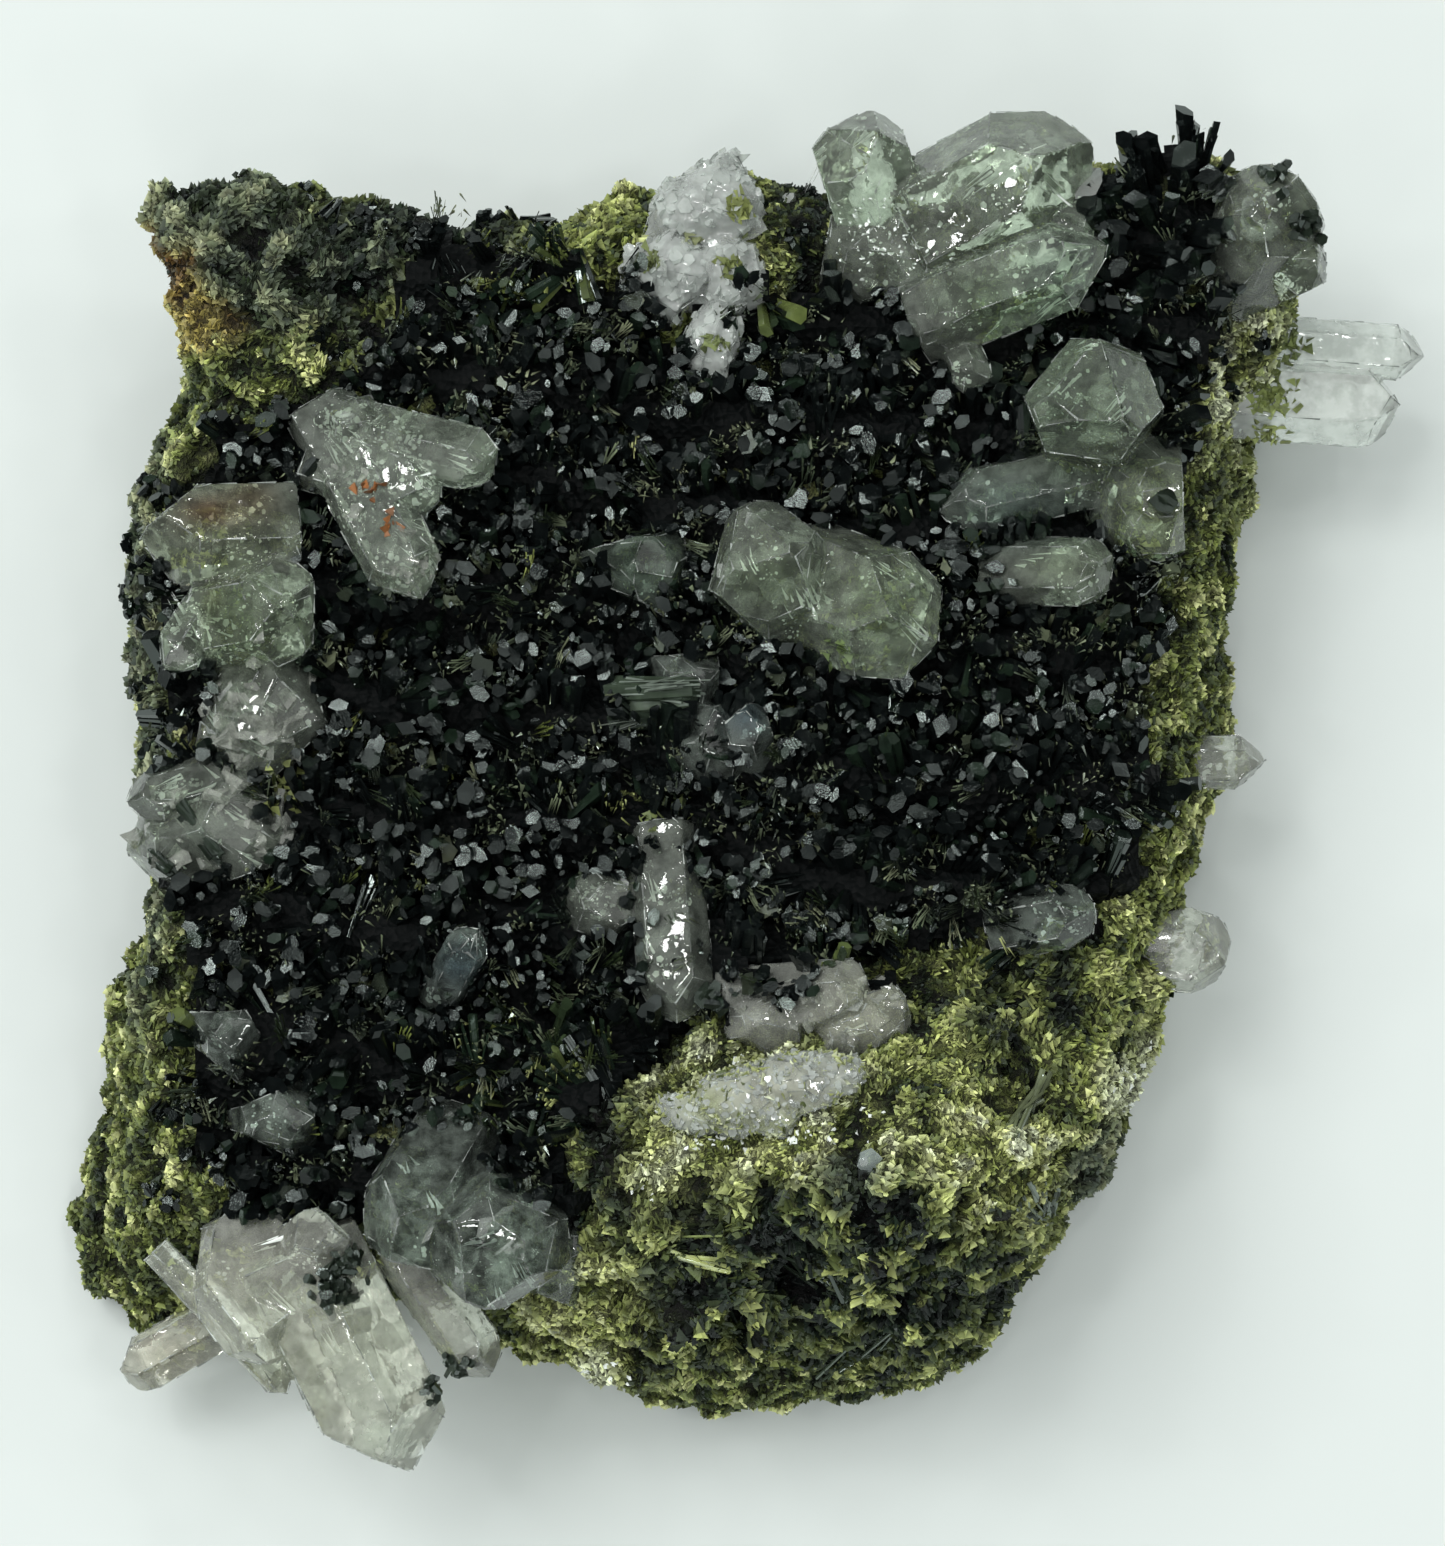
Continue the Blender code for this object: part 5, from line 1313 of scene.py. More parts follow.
UPRIGHT = 0.5
ROW_STEP = 0.87 * SPRAY_SPACING
JITTER = 0.35
LYING_MODELS = [LATH, LATH, BLADE, CHISEL]
STANDING_MODELS = [FLAT, BROAD, BROAD, ASLANT, LOZENGE, STEP, CHISEL]
LYING_LEAN = (45.0, 70.0)
STANDING_LEAN = (0.0, 14.0)
LOWEST_AXIS = 0.15
OFF_CRUST_REACH = 0.3
OFF_CRUST_WIDTH = 0.7
rng = np.random.default_rng(7)
druse_rows, needle_rows = [], []
cad_span = (cad_high - cad_low) / MM
for j in range(int(cad_span.y / ROW_STEP) + 1):
    for i in range(int(cad_span.x / SPRAY_SPACING) + 1):
        x = cad_low.x / MM + (i + 0.5 * (j % 2) + rng.uniform(-JITTER, JITTER)) * SPRAY_SPACING
        y = cad_low.y / MM + (j + rng.uniform(-JITTER, JITTER)) * ROW_STEP
        on_crust = over_druse(x * MM, y * MM)
        ground = ground_under(x, y, crust_tree if on_crust else rock_tree)
        if ground is None or in_quartz(ground[0] + ground[1], 1.0):
            continue
        dark = in_spots(*pixels_of(ground[0][None]), DARK_SPOTS)[0]
        if not on_crust and (ground[1][2] < UPRIGHT or rng.random() > dark):
            continue
        foot, normal = ground
        u, v = pixels_of(foot[None])
        green, needles, tall = (
            in_spots(u, v, spots)[0] for spots in (GREEN_SPOTS, NEEDLE_SPOTS, TALL_SPOTS)
        )
        lying = rng.random() < LEANING_SHARE + 0.35 * needles
        sway = normal + SWAY * np.array([wave(foot[None], SWAY_SIZE, seed)[0] for seed in SWAY_SEEDS])
        sway /= np.linalg.norm(sway)
        axis = tilted(rng, sway, rng.uniform(*(LYING_LEAN if lying else STANDING_LEAN)))
        axis = axis if axis[2] > LOWEST_AXIS else normal
        ramp = "dark green" if rng.random() < green else "druse"
        slim = 1.0 - 0.45 * needles
        reach = (1.0 + 0.25 * needles + 0.3 * tall) * (1.0 if on_crust else OFF_CRUST_REACH)
        stout = slim * (1.0 + 0.5 * tall) * (0.6 if lying else 1.0)
        stout *= 1.0 if on_crust else OFF_CRUST_WIDTH
        crowd = rng.integers(*SPRAY_CROWD)
        models = LYING_MODELS if lying else STANDING_MODELS
        druse_rows += spray(
            rng, foot, axis, crowd, rng.uniform(*FAN), [reach * value for value in DRUSE_LENGTH],
            [stout * value for value in DRUSE_WIDTH], ramp, models
        )
        for _ in range(rng.poisson(0.4 + 1.2 * needles) if on_crust else 0):
            needle_rows += tuft(rng, foot, normal)
        for _ in range(rng.poisson(1.0 + 0.8 * green) if on_crust else 0):
            needle_rows += litter(rng, foot, normal, green)
left_out = bare(np.array([row[1:4] for row in druse_rows]))
druse_rows = [row for row, out in zip(druse_rows, left_out) if not out]
half = len(druse_rows) // 2
plant("druse_crystals_front", druse_rows[:half], dark_epidote, "dark_epidote", "epidote_druse")
plant("druse_crystals_back", druse_rows[half:], dark_epidote, "dark_epidote", "epidote_druse")
# The needles get painted shade at their roots.
plant("druse_needles", needle_rows, dark_epidote, "dark_epidote", "epidote_druse", painted_root_shade=0.1)

# %% [markdown]
# ## Grains of the rock
# Where the rock is bare, it is a tangle of thin, broken epidote shards that stand on edge, like moss that
# turned to stone. They are planted on the rock's own faces, spread evenly over its area, and neighbours
# point much the same way. Each takes the rock's colour where it stands, lighter at its tip than at its
# root, where it gets painted shade. Deep hollows stay empty, and the rock's painted shade there shows as
# dark gaps. Bundles of longer blades lie across the coarse zones.

# %% Plant the grains
GRAIN_COUNT = 145000
SITES_EACH = 1.9
GRAIN_WIDTH = (0.28, 1.40)
GRAIN_OUT = (0.05, 0.60)
GRAIN_LEAN = (0.0, 48.0)
GRAIN_SINK = 0.5
# Painted shade at the root of each grain, where it meets the rock.
PAINTED_ROOT_SHADE = 0.15
HOLLOW_FROM = 0.35
HOLLOW_GRAINS = 0.25
LOWEST_GRAIN = 1.0
OVERHANG = -0.6
FOLD_SIZE = 5.0
FOLD_SWING = 4.0
BUNDLES = 500
BUNDLE_BLADES = 3
BLADE_WIDTH = (0.20, 0.50)
BLADE_LENGTH = (0.4, 1.3)
BLADE_LEAN = (70.0, 87.0)
RIM_GRAINS = 900
RIM_STEEP = 0.55
PIECE_CRYSTALS = 38000


def sites_on(obj, count, rng):
    """Random places on a mesh, in millimetres, spread evenly: points, normals and nearby vertices."""
    mesh = obj.data
    mesh.calc_loop_triangles()
    corners = np.zeros(3 * len(mesh.loop_triangles), int)
    mesh.loop_triangles.foreach_get("vertices", corners)
    corners = corners.reshape(-1, 3)
    a, b, c = (places_of(obj)[corners[:, k]] for k in range(3))
    normals = np.cross(b - a, c - a)
    areas = np.linalg.norm(normals, axis=1)
    picked = rng.choice(len(areas), size=count, p=areas / areas.sum())
    s, t = rng.random((2, count, 1))
    flip = s + t > 1.0
    s, t = np.where(flip, 1.0 - s, s), np.where(flip, 1.0 - t, t)
    spots = a[picked] + s * (b[picked] - a[picked]) + t * (c[picked] - a[picked])
    return spots, normals[picked] / areas[picked, None], corners[picked, 0]


def leaning(rng, normals, low, high):
    """Each normal, leaning by a number of degrees between low and high to a random side."""
    first, second = across(normals)
    angle = rng.uniform(0.0, math.tau, (len(normals), 1))
    lean = np.tan(np.radians(rng.uniform(low, high, (len(normals), 1))))
    directions = normals + (first * np.cos(angle) + second * np.sin(angle)) * lean
    return directions / np.linalg.norm(directions, axis=1, keepdims=True)


def crystal_rows(models, spots, directions, turn, out, width, tints):
    """Rows for crystals whose tips stand out from their spots."""
    tips = spots + directions * out[:, None]
    rows = np.column_stack([models, tips, directions, turn, out + GRAIN_SINK, width, tints])
    return rows[tips[:, 2] > 0.7]


rng = np.random.default_rng(19)
spots, normals, nearby = sites_on(rock, int(SITES_EACH * GRAIN_COUNT), rng)
depth = rock_depth[nearby]
usable = (spots[:, 2] > LOWEST_GRAIN) & (normals[:, 2] > OVERHANG)
usable &= (depth < HOLLOW_FROM) | (rng.random(len(depth)) < HOLLOW_GRAINS)
usable &= np.array([
    not (in_quartz(spot, 0.5) or (normal[2] > 0.3 and over_druse(spot[0] * MM, spot[1] * MM)))
    for spot, normal in zip(spots, normals)
])
chosen = np.flatnonzero(usable)[:GRAIN_COUNT]
spots, normals, nearby = spots[chosen], normals[chosen], nearby[chosen]
shares = zone_shares(spots)
# Grains take the colour of a spot a little higher than their own, so a little less painted shade than the
# rock.
tints = rock_colours(spots, rock_depth[nearby] - 0.1, shares)
blades, sizes = np.array([zone[6:] for zone in [*ZONES.values(), EVERYWHERE]]).T @ shares
count = len(spots)
print(count, "grains")

directions = leaning(rng, normals, *GRAIN_LEAN)
fold = FOLD_SWING * wave(spots, FOLD_SIZE, 3.0) + rng.normal(0.0, 0.5, count)
along = np.stack([np.cos(fold), np.sin(fold), np.zeros(count)], axis=1)
first, second = across(directions)
turn = np.arctan2((along * second).sum(axis=1), (along * first).sum(axis=1))
grain_rows = crystal_rows(
    rng.choice([SPLINTER, SHARD, BROKEN], count, p=[0.9, 0.05, 0.05]), spots, directions, turn,
    sizes * rng.uniform(*GRAIN_OUT, count),
    sizes * (GRAIN_WIDTH[0] + (GRAIN_WIDTH[1] - GRAIN_WIDTH[0]) * rng.beta(1.2, 2.6, count)),
    tints * rng.lognormal(0.0, 0.42, (count, 1)).clip(0.25, 1.7),
)

weights = blades ** 2
bundle = np.repeat(rng.choice(count, BUNDLES, p=weights / weights.sum()), BUNDLE_BLADES)
count = len(bundle)
axes = np.repeat(leaning(rng, normals[bundle[::BUNDLE_BLADES]], *BLADE_LEAN), BUNDLE_BLADES, axis=0)
beside = np.cross(axes, normals[bundle]) * rng.uniform(-0.8, 0.8, (count, 1)) * sizes[bundle, None]
blade_rows = crystal_rows(
    rng.choice([LATH, BLADE], count), spots[bundle] + beside, leaning(rng, axes, 0.0, 7.0),
    rng.normal(0.8, 0.3, count), sizes[bundle] * rng.uniform(*BLADE_LENGTH, count),
    sizes[bundle] * rng.uniform(*BLADE_WIDTH, count),
    tints[bundle] * rng.uniform(0.6, 1.5, (count, 1)),
)

patch = quartz_pieces["quartz_hump_patch"]
spots, normals, _ = sites_on(patch, RIM_GRAINS, rng)
rim = rng.random(RIM_GRAINS) > (normals[:, 2] - RIM_STEEP) / (1.0 - RIM_STEEP)
spots, normals = spots[rim], normals[rim]
count = len(spots)
rim_rows = crystal_rows(
    np.full(count, SPLINTER), spots, leaning(rng, normals, *GRAIN_LEAN), rng.uniform(0.0, math.tau, count),
    rng.uniform(0.0, 0.35, count), rng.uniform(0.4, 1.2, count),
    ramp_colours("straw", rng.uniform(0.2, 0.9, count)),
)
grain_rows = rng.permutation(np.concatenate([grain_rows, blade_rows, rim_rows]))
for number, start in enumerate(range(0, len(grain_rows), PIECE_CRYSTALS)):
    chosen = grain_rows[start:start + PIECE_CRYSTALS]
    plant(f"rock_grains_{number + 1}", chosen, green_epidote, "green_epidote_rock", "matrix",
          painted_root_shade=PAINTED_ROOT_SHADE)

# %% [markdown]
# ## Flaws in the quartz, and white quartz grains
# Natural quartz is full of healed cracks: flat clouds of tiny white flecks that lie at all angles inside
# it. They're what makes it look like stone and not like window glass. Open cracks mirror light from
# inside, and thin white slivers along the edges are painted highlights on edges that are partly chipped.
# The white vein and the white patch are another habit of the same mineral: a heap of small, angular,
# glassy grains.

# %% Clouds of flecks inside each crystal
VEILS = 4
VEIL_FLECKS = 16
FLECK_SIZE = (0.08, 1.30)
FLECK_COVER = 0.12
FRACTURED = ("quartz_left_cluster", "quartz_back_left_blade", "quartz_front_blade", "quartz_back_vein")
MORE_VEILS = 3


def veil(rng, middle, radius):
    """Rows for the flecks of one healed crack around a place."""
    normal = rng.normal(size=3)
    normal /= np.linalg.norm(normal)
    first, second = (side[0] for side in across(normal[None]))
    rows = []
    for _ in range(VEIL_FLECKS):
        angle, out = rng.uniform(0.0, math.tau), radius * rng.random() ** 0.7
        place = middle + (first * math.cos(angle) + second * math.sin(angle)) * out
        place = place + normal * rng.normal(0.0, 0.12)
        if in_quartz(place, FLECK_COVER):
            direction = tilted(rng, normal, rng.uniform(0.0, 40.0))
            size = FLECK_SIZE[0] + (FLECK_SIZE[1] - FLECK_SIZE[0]) * rng.beta(1.0, 5.0)
            rows.append([FLECK, *place, *direction, rng.uniform(0.0, math.tau), 0.0, size, 1.0, 1.0, 1.0])
    return rows


rng = np.random.default_rng(31)
flaw_rows = []
for cad_name, blocks in QUARTZ.items():
    for _, middle, axis, length, girth in blocks:
        many = MORE_VEILS if cad_name in FRACTURED else 1
        for _ in range(many * (int(VEILS * girth / 8.0) + 2)):
            spot = np.array(middle + axis * rng.uniform(-0.45, 0.45) * length)
            spot = spot + rng.normal(size=3) * 0.22 * girth
            if in_quartz(spot, 0.3):
                flaw_rows += veil(rng, spot, rng.uniform(0.15, 0.42) * girth)
plant("quartz_flaws", flaw_rows, flaw_finish, "white_quartz")

# %% Open cracks, which mirror light from inside
CRACKS = 11
CRACK_COVER = 0.35

rng = np.random.default_rng(43)
crack_rows = []
for cad_name, blocks in QUARTZ.items():
    for _, middle, axis, length, girth in blocks:
        for _ in range(int(CRACKS * girth / 8.0) + 1):
            spot = np.array(middle + axis * rng.uniform(-0.4, 0.5) * length)
            spot = spot + rng.normal(size=3) * 0.2 * girth
            if in_quartz(spot, CRACK_COVER):
                direction = tilted(rng, np.array([-0.25, 0.1, 0.96]), rng.uniform(0.0, 75.0))
                size, turn = rng.uniform(0.12, 0.45) * girth, rng.uniform(0.0, math.tau)
                crack_rows.append([CRACK, *spot, *direction, turn, 0.0, size, 1.0, 1.0, 1.0])
plant("quartz_cracks", crack_rows, crack_finish, "clear_quartz")

# %% Painted highlights along the edges: thin white slivers, on edges that are partly chipped
RIDGE_WIDTH = (0.10, 0.26)
RIDGE_COVER = 0.30
RIDGE_ASTRAY = 0.28

rng = np.random.default_rng(47)
edge_highlight_rows = []
for start, end in ridges:
    start, end = np.array(start), np.array(end)
    length = np.linalg.norm(end - start)
    direction = (end - start) / length
    place = rng.uniform(0.0, 0.25) * length
    while place < 0.96 * length:
        piece_length = min(rng.uniform(0.5, 3.0), length - place)
        tip = start + direction * (place + piece_length)
        middle = tip - direction * piece_length / 2
        astray = quartz_tree.find_nearest(Vector(middle) * MM)[3] > RIDGE_ASTRAY * MM
        if not astray and not in_quartz(middle, RIDGE_COVER):
            shade = rng.uniform(0.35, 1.0)
            width = rng.uniform(*RIDGE_WIDTH)
            turn = rng.uniform(0.0, math.tau)
            edge_highlight_rows.append([NEEDLE, *tip, *direction, turn, piece_length, width, shade, shade, shade])
        place += piece_length + rng.exponential(0.7)
# Painted highlights: light slivers along the crystals' edges stand for light caught there.
plant("quartz_edge_highlights", edge_highlight_rows, QUARTZ_FINISHES["white_quartz"], "clear_quartz")


# %% White quartz grains
def sugar_rows(rng, obj, count, widths, spots=None, lean=60.0, models=None):
    """Rows for angular grains on an object, everywhere or in soft spots of the photograph."""
    models = models or [GRAIN, BLUNT, ASLANT]
    rows = []
    for spot, normal, _ in zip(*sites_on(obj, count, rng)):
        if normal[2] < -0.2 or (spots and rng.random() > in_spots(*pixels_of(spot[None]), spots)[0]):
            continue
        direction = tilted(rng, normal, rng.uniform(0.0, lean))
        width = widths[0] + (widths[1] - widths[0]) * rng.beta(1.2, 2.5)
        tip = spot + direction * rng.uniform(0.0, 0.2) * width
        model = models[rng.integers(len(models))]
        length = 0.6 + 0.6 * width
        rows.append([model, *tip, *direction, rng.uniform(0.0, math.tau), length, width, 1.0, 1.0, 1.0])
    return rows


SUGAR_SPOTS = [(880, 240, 36, 30, 0.5), (925, 240, 24, 24, 0.35), (850, 215, 20, 16, 0.4)]
CREAM_SPOTS = [
    (700, 1132, 34, 16, 0.55), (655, 1180, 20, 16, 0.4), (842, 1090, 20, 26, 0.5), (760, 1064, 60, 10, 0.4),
    (780, 1138, 60, 10, 0.4), (1134, 1085, 14, 40, 0.6), (604, 1372, 22, 14, 0.5), (850, 1404, 36, 8, 0.4),
]
BLADE_SPOTS = [(420, 560, 20, 26, 0.8), (350, 480, 24, 40, 0.3)]
LEFT_SPOTS = [(255, 725, 50, 50, 0.8), (230, 820, 60, 40, 0.5), (285, 800, 26, 30, 0.7)]
rng = np.random.default_rng(37)
sugar = sugar_rows(rng, quartz_pieces["quartz_back_vein"], 520, (0.7, 2.4), None, 40.0,
                   [STEP, BLUNT, GRAIN, SHARD])
sugar += sugar_rows(rng, quartz_pieces["quartz_hump_patch"], 900, (0.3, 1.2), lean=35.0)
plant("white_quartz_grains", sugar, QUARTZ_FINISHES["white_quartz"], "white_quartz")
snow = sugar_rows(rng, quartz_pieces["quartz_back_cluster"], 3600, (0.2, 0.9), SUGAR_SPOTS, 60.0,
                  [SHARD, BLUNT, BROKEN])
cream = sugar_rows(rng, rock, 60000, (0.4, 1.4), CREAM_SPOTS, 75.0, [SHARD, GRAIN, BLUNT])
plant("snow_white_grains", snow + cream, flaw_finish, "white_quartz")
PLATES = [LATH, BLADE, TORN, SHARD]
shards = sugar_rows(rng, quartz_pieces["quartz_left_cluster"], 1200, (1.0, 3.8), LEFT_SPOTS, 85.0, PLATES)
shards += sugar_rows(
    rng, quartz_pieces["quartz_back_left_blade"], 900, (0.6, 1.8), BLADE_SPOTS, 80.0, PLATES
)
shards += sugar_rows(rng, quartz_pieces["quartz_front_mass"], 120, (0.5, 1.8), None, 60.0, PLATES)
plant("clear_quartz_shards", shards, QUARTZ_FINISHES["pale_quartz"], "clear_quartz")

# %% [markdown]
# ## Single crystals that the eye finds
# Some crystals are large or odd enough to be seen one by one: yellow-green sheaves of laths under the
# hump's crest, dark clumps on the quartz, a grooved black block near the middle, rust-brown needles in the
# back-left blade, a grey bead of quartz. Each is placed by two pixels of the photograph, its root's and
# its tip's, with how far it stands off there. A long sheaf is made of short laths, so that it follows the
# rock instead of bridging it.

# %% Place single crystals
INWARDS = 0.02
seen_tree = tree_of(rock, crust, *quartz_pieces.values())


def seen_at(u, v, lift=0.0):
    """The place in millimetres that the camera sees at a pixel, raised towards the camera by the lift."""
    ray = ray_through(u, v)
    spot = seen_tree.ray_cast(eye, ray)[0]
    while spot is None:
        u += (IMAGE_WIDTH / 2 - u) * INWARDS
        v += (IMAGE_HEIGHT / 2 - v) * INWARDS
        spot = seen_tree.ray_cast(eye, ray_through(u, v))[0]
    return np.array(spot) / MM - np.array(ray) * lift


def laid(model, root, tip, width, colour):
    """The row of a crystal from one (u, v, lift) to another."""
    start, end = seen_at(*root), seen_at(*tip)
    length = np.linalg.norm(end - start)
    return [model, *end, *((end - start) / length), 0.15, length, width, *colour]


def clump(rng, u, v, reach, count, width, colour, rise=1.5):
    """Rows for stubby crystals crowded around a pixel."""
    rows = []
    for _ in range(count):
        foot = seen_at(u + rng.normal(0.0, reach), v + rng.normal(0.0, reach))
        direction = tilted(rng, np.array([0.0, -0.1, 1.0]), rng.uniform(0.0, 45.0))
        out = rise * rng.uniform(0.4, 1.0)
        size = width * rng.uniform(0.6, 1.2)
        tip = foot + direction * out
        model = (FLAT, ASLANT, STEP, LOZENGE)[rng.integers(4)]
        shade = np.array(colour) * rng.uniform(0.7, 1.3)
        rows.append([model, *tip, *direction, rng.uniform(0.0, math.tau), out + 1.5, size, *shade])
    return rows


def sheaf(rng, root, tip, reach, count, width, colour, share=1.0):
    """Rows for nearly parallel laths on the way between two (u, v, lift), each this share of it long."""
    rows = []
    root, tip = np.array(root), np.array(tip)
    for _ in range(count):
        begin = rng.uniform(0.0, 1.0 - share) if share < 1.0 else 0.0
        ends = []
        for place in (root + (tip - root) * begin, root + (tip - root) * (begin + share)):
            u, v = place[:2] + rng.normal(0.0, reach, 2)
            ends.append((u, v, place[2] * rng.uniform(0.6, 1.2)))
        shade = np.array(colour) * rng.uniform(0.4, 1.5)
        rows.append(laid((LATH, CHISEL)[rng.integers(2)], *ends, width * rng.uniform(0.6, 1.2), shade))
    return rows


# %% Dark and green crystals one by one
BLACK_GREEN = (0.012, 0.017, 0.012)
BOTTLE_GREEN = (0.030, 0.042, 0.028)
MOSS_GREEN = (0.045, 0.060, 0.040)
SMOKE_GREEN = (0.070, 0.080, 0.065)
DULL_GREEN = (0.100, 0.120, 0.100)
LEAF_GREEN = (0.085, 0.100, 0.055)
OLIVE_GREEN = (0.120, 0.150, 0.050)
STRAW_GREEN = (0.250, 0.280, 0.100)
GREY_GREEN = (0.160, 0.190, 0.160)
SHEAVES = [
    ((184, 808, 0.3), (218, 858, 0.9), 5.0, 12, 0.70, BLACK_GREEN),
    ((152, 856, 0.3), (172, 874, 0.8), 4.0, 8, 0.60, BLACK_GREEN),
    ((660, 1243, 0.2), (770, 1224, 0.5), 3.0, 7, 0.24, OLIVE_GREEN, 0.4),
    ((668, 1254, 0.2), (766, 1276, 0.8), 4.0, 20, 0.42, STRAW_GREEN, 0.4),
    ((1012, 1132, 0.3), (1048, 1072, 0.9), 4.0, 26, 0.50, LEAF_GREEN, 0.45),
    ((690, 686, 2.2), (618, 692, 3.0), 7.0, 16, 0.26, DULL_GREEN),
    ((662, 718, 1.6), (612, 724, 2.2), 5.0, 8, 0.22, SMOKE_GREEN),
    ((780, 1250, 0.3), (862, 1300, 0.8), 6.0, 22, 0.45, BOTTLE_GREEN, 0.4),
    ((900, 1330, 0.3), (820, 1382, 0.8), 6.0, 20, 0.40, MOSS_GREEN, 0.35),
]
FAN_ROOT = (1046, 1226, 0.2)
FAN_TIPS = [(1012, 1206, 0.7), (1018, 1192, 0.7), (1030, 1182, 0.7), (1044, 1178, 0.7), (1060, 1186, 0.7)]
BLOCK = [
    (STEP, (696, 688, 1.0), (610, 690, 1.8), 2.9, BOTTLE_GREEN),
    (CHISEL, (690, 700, 0.8), (622, 704, 1.4), 2.4, MOSS_GREEN),
    (STEP, (668, 718, 0.8), (608, 724, 1.4), 2.0, BLACK_GREEN),
]
CLUMPS = [
    (333, 1284, 11, 40, 1.1, BLACK_GREEN, 1.2), (350, 1260, 7, 16, 1.0, BLACK_GREEN, 1.2),
    (437, 1388, 7, 24, 0.9, BLACK_GREEN, 0.8), (462, 1370, 4, 12, 0.9, BLACK_GREEN, 0.8),
    (710, 998, 5, 14, 1.8, BLACK_GREEN), (1165, 505, 2, 3, 2.2, BLACK_GREEN),
    (1000, 596, 14, 9, 1.5, BLACK_GREEN), (1304, 225, 8, 14, 1.1, BLACK_GREEN),
    (1284, 166, 8, 14, 1.1, BLACK_GREEN),
]
rng = np.random.default_rng(41)
singles = [laid(*row) for row in BLOCK]
for row in SHEAVES:
    singles += sheaf(rng, *row)
for tip in FAN_TIPS:
    singles += sheaf(rng, FAN_ROOT, tip, 1.5, 6, 0.5, GREY_GREEN, 0.35)
for row in CLUMPS:
    singles += clump(rng, *row)
plant("single_crystals", singles, dark_epidote, "dark_epidote", "epidote_druse")

# %% White streaks just under the faces of the quartz
STREAKS = [
    (797, 586, 806, 606), (803, 583, 813, 604), (810, 584, 822, 607), (790, 596, 800, 612),
    (818, 590, 826, 602), (900, 620, 930, 650), (880, 560, 905, 575), (745, 560, 760, 590),
    (396, 540, 412, 552), (410, 520, 426, 528), (424, 560, 434, 580), (330, 440, 352, 470),
    (350, 436, 366, 452), (446, 452, 470, 460), (416, 478, 440, 470), (206, 700, 226, 730),
    (232, 690, 246, 720), (262, 700, 290, 716), (240, 740, 270, 756), (215, 760, 236, 780),
    (160, 790, 190, 776), (180, 800, 220, 790), (228, 806, 256, 826), (240, 840, 262, 852),
    (210, 618, 236, 626), (170, 590, 186, 620), (196, 628, 204, 650), (965, 190, 1000, 165),
    (1010, 170, 1050, 150), (1040, 180, 1070, 210), (980, 240, 1010, 220), (1030, 320, 1070, 290),
    (812, 130, 830, 150), (850, 150, 870, 130), (1060, 400, 1085, 380), (1110, 420, 1130, 400),
    (1075, 350, 1100, 340), (1020, 560, 1050, 556), (650, 870, 660, 900), (640, 940, 652, 970),
    (760, 1000, 790, 990), (840, 1036, 870, 1026), (270, 1290, 300, 1320), (330, 1330, 350, 1370),
    (250, 1250, 280, 1240), (430, 1190, 440, 1215), (470, 1240, 500, 1230), (520, 1260, 540, 1290),
    (400, 1160, 412, 1180), (490, 1290, 500, 1310),
]
STREAKS_EACH = 4
STREAK_COVER = (0.3, 0.9)
STREAK_WIDTH = (0.15, 0.45)
STREAK_REACH = (0.3, 1.0)
STREAK_ASTRAY = 5.0
STREAK_TURN = 2.0
streaks = []
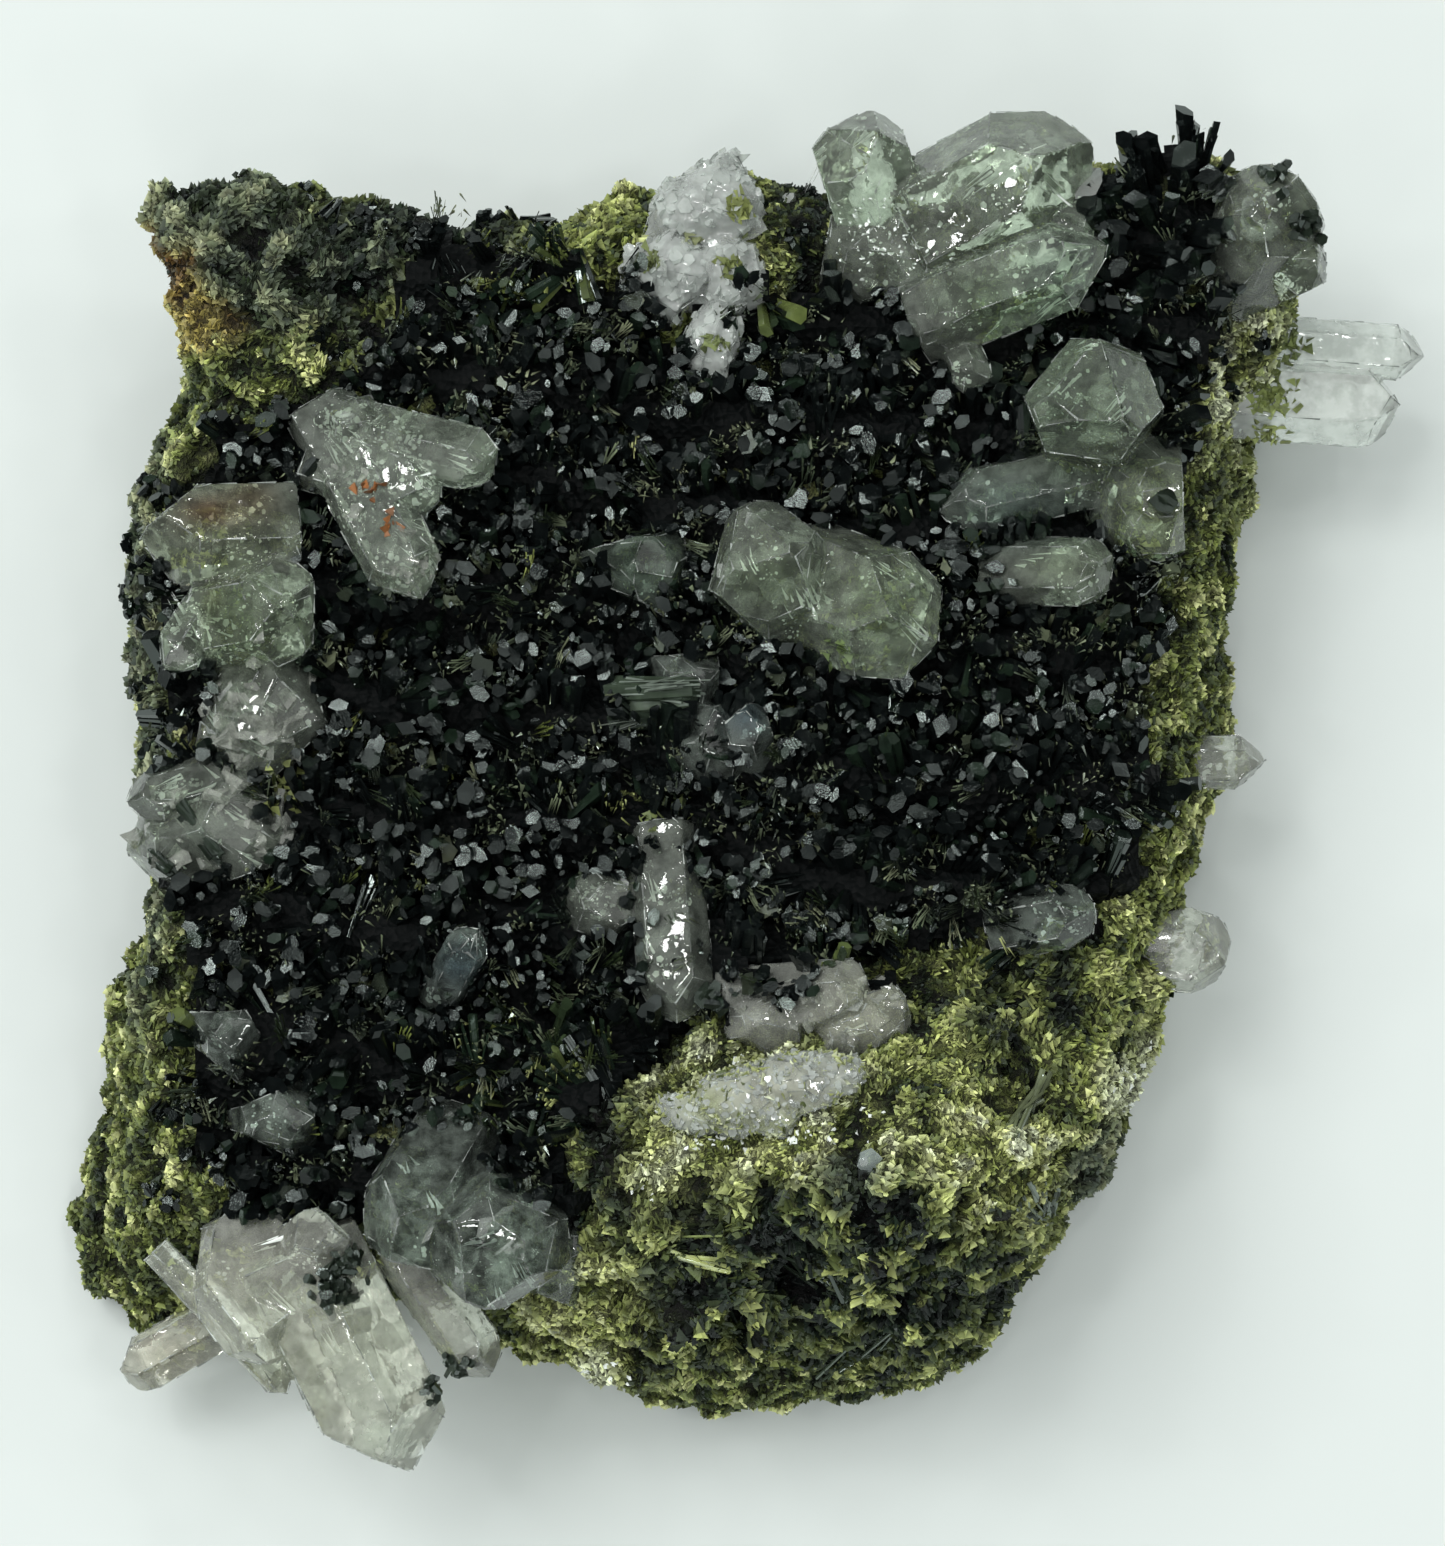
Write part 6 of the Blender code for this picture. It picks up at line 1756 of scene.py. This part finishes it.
for root_u, root_v, tip_u, tip_v in STREAKS:
    for _ in range(STREAKS_EACH):
        shift_u, shift_v = rng.normal(0.0, STREAK_ASTRAY, 2)
        cover, reach = -rng.uniform(*STREAK_COVER), rng.uniform(*STREAK_REACH)
        far_u, far_v = rng.normal(0.0, STREAK_TURN, 2) + reach * np.array([tip_u - root_u, tip_v - root_v])
        start = (root_u + shift_u, root_v + shift_v, cover)
        end = (start[0] + far_u, start[1] + far_v, cover)
        model, width = (NEEDLE, SHARD)[rng.integers(2)], rng.uniform(*STREAK_WIDTH)
        streaks.append(laid(model, start, end, width, (1.0, 1.0, 1.0)))
plant("quartz_streaks", streaks, flaw_finish, "white_quartz")

# %% Green and rust-brown sprigs, and two beads
RUST_BROWN = (0.22, 0.08, 0.02)
SPRIGS = [
    (738, 208, 6, 40, (0.22, 0.25, 0.08)), (652, 262, 5, 30, (0.16, 0.19, 0.07)),
    (716, 345, 5, 24, (0.14, 0.17, 0.06)), (690, 240, 4, 10, (0.20, 0.22, 0.10)),
    (730, 265, 5, 20, (0.18, 0.21, 0.07)), (282, 790, 12, 40, (0.24, 0.27, 0.09)),
    (375, 488, 6, 9, RUST_BROWN), (392, 521, 5, 7, RUST_BROWN), (845, 655, 10, 14, (0.10, 0.14, 0.05)),
    (1268, 395, 12, 90, (0.20, 0.24, 0.08)), (1262, 445, 10, 70, (0.24, 0.28, 0.09)),
    (1292, 345, 10, 40, (0.12, 0.15, 0.05)), (660, 810, 14, 30, (0.14, 0.17, 0.06)),
]
sprigs = []
for u, v, reach, count, colour in SPRIGS:
    for _ in range(count):
        foot = seen_at(u + rng.normal(0.0, reach), v + rng.normal(0.0, reach))
        direction = tilted(rng, np.array([0.0, 0.0, 1.0]), rng.uniform(30.0, 88.0))
        out, width, turn = rng.uniform(0.1, 1.0), rng.uniform(0.4, 1.3), rng.uniform(0.0, math.tau)
        shade = np.array(colour) * rng.uniform(0.6, 1.3)
        sprigs.append([SPLINTER, *(foot + direction * out), *direction, turn, out + 0.4, width, *shade])
plant("green_sprigs", sprigs, green_epidote, "green_epidote_rock", "matrix")

beads = [
    [STEP, *seen_at(870, 1162, 1.0), 0.15, -0.2, 0.97, 0.3, 2.0, 2.6, 0.62, 0.68, 0.68],
    [STEP, *seen_at(797, 122, 0.3), -0.4, 0.3, 0.87, 0.3, 1.5, 1.5, 1.0, 1.0, 1.0],
]
plant("small_quartz_beads", beads, QUARTZ_FINISHES["white_quartz"], "clear_quartz")
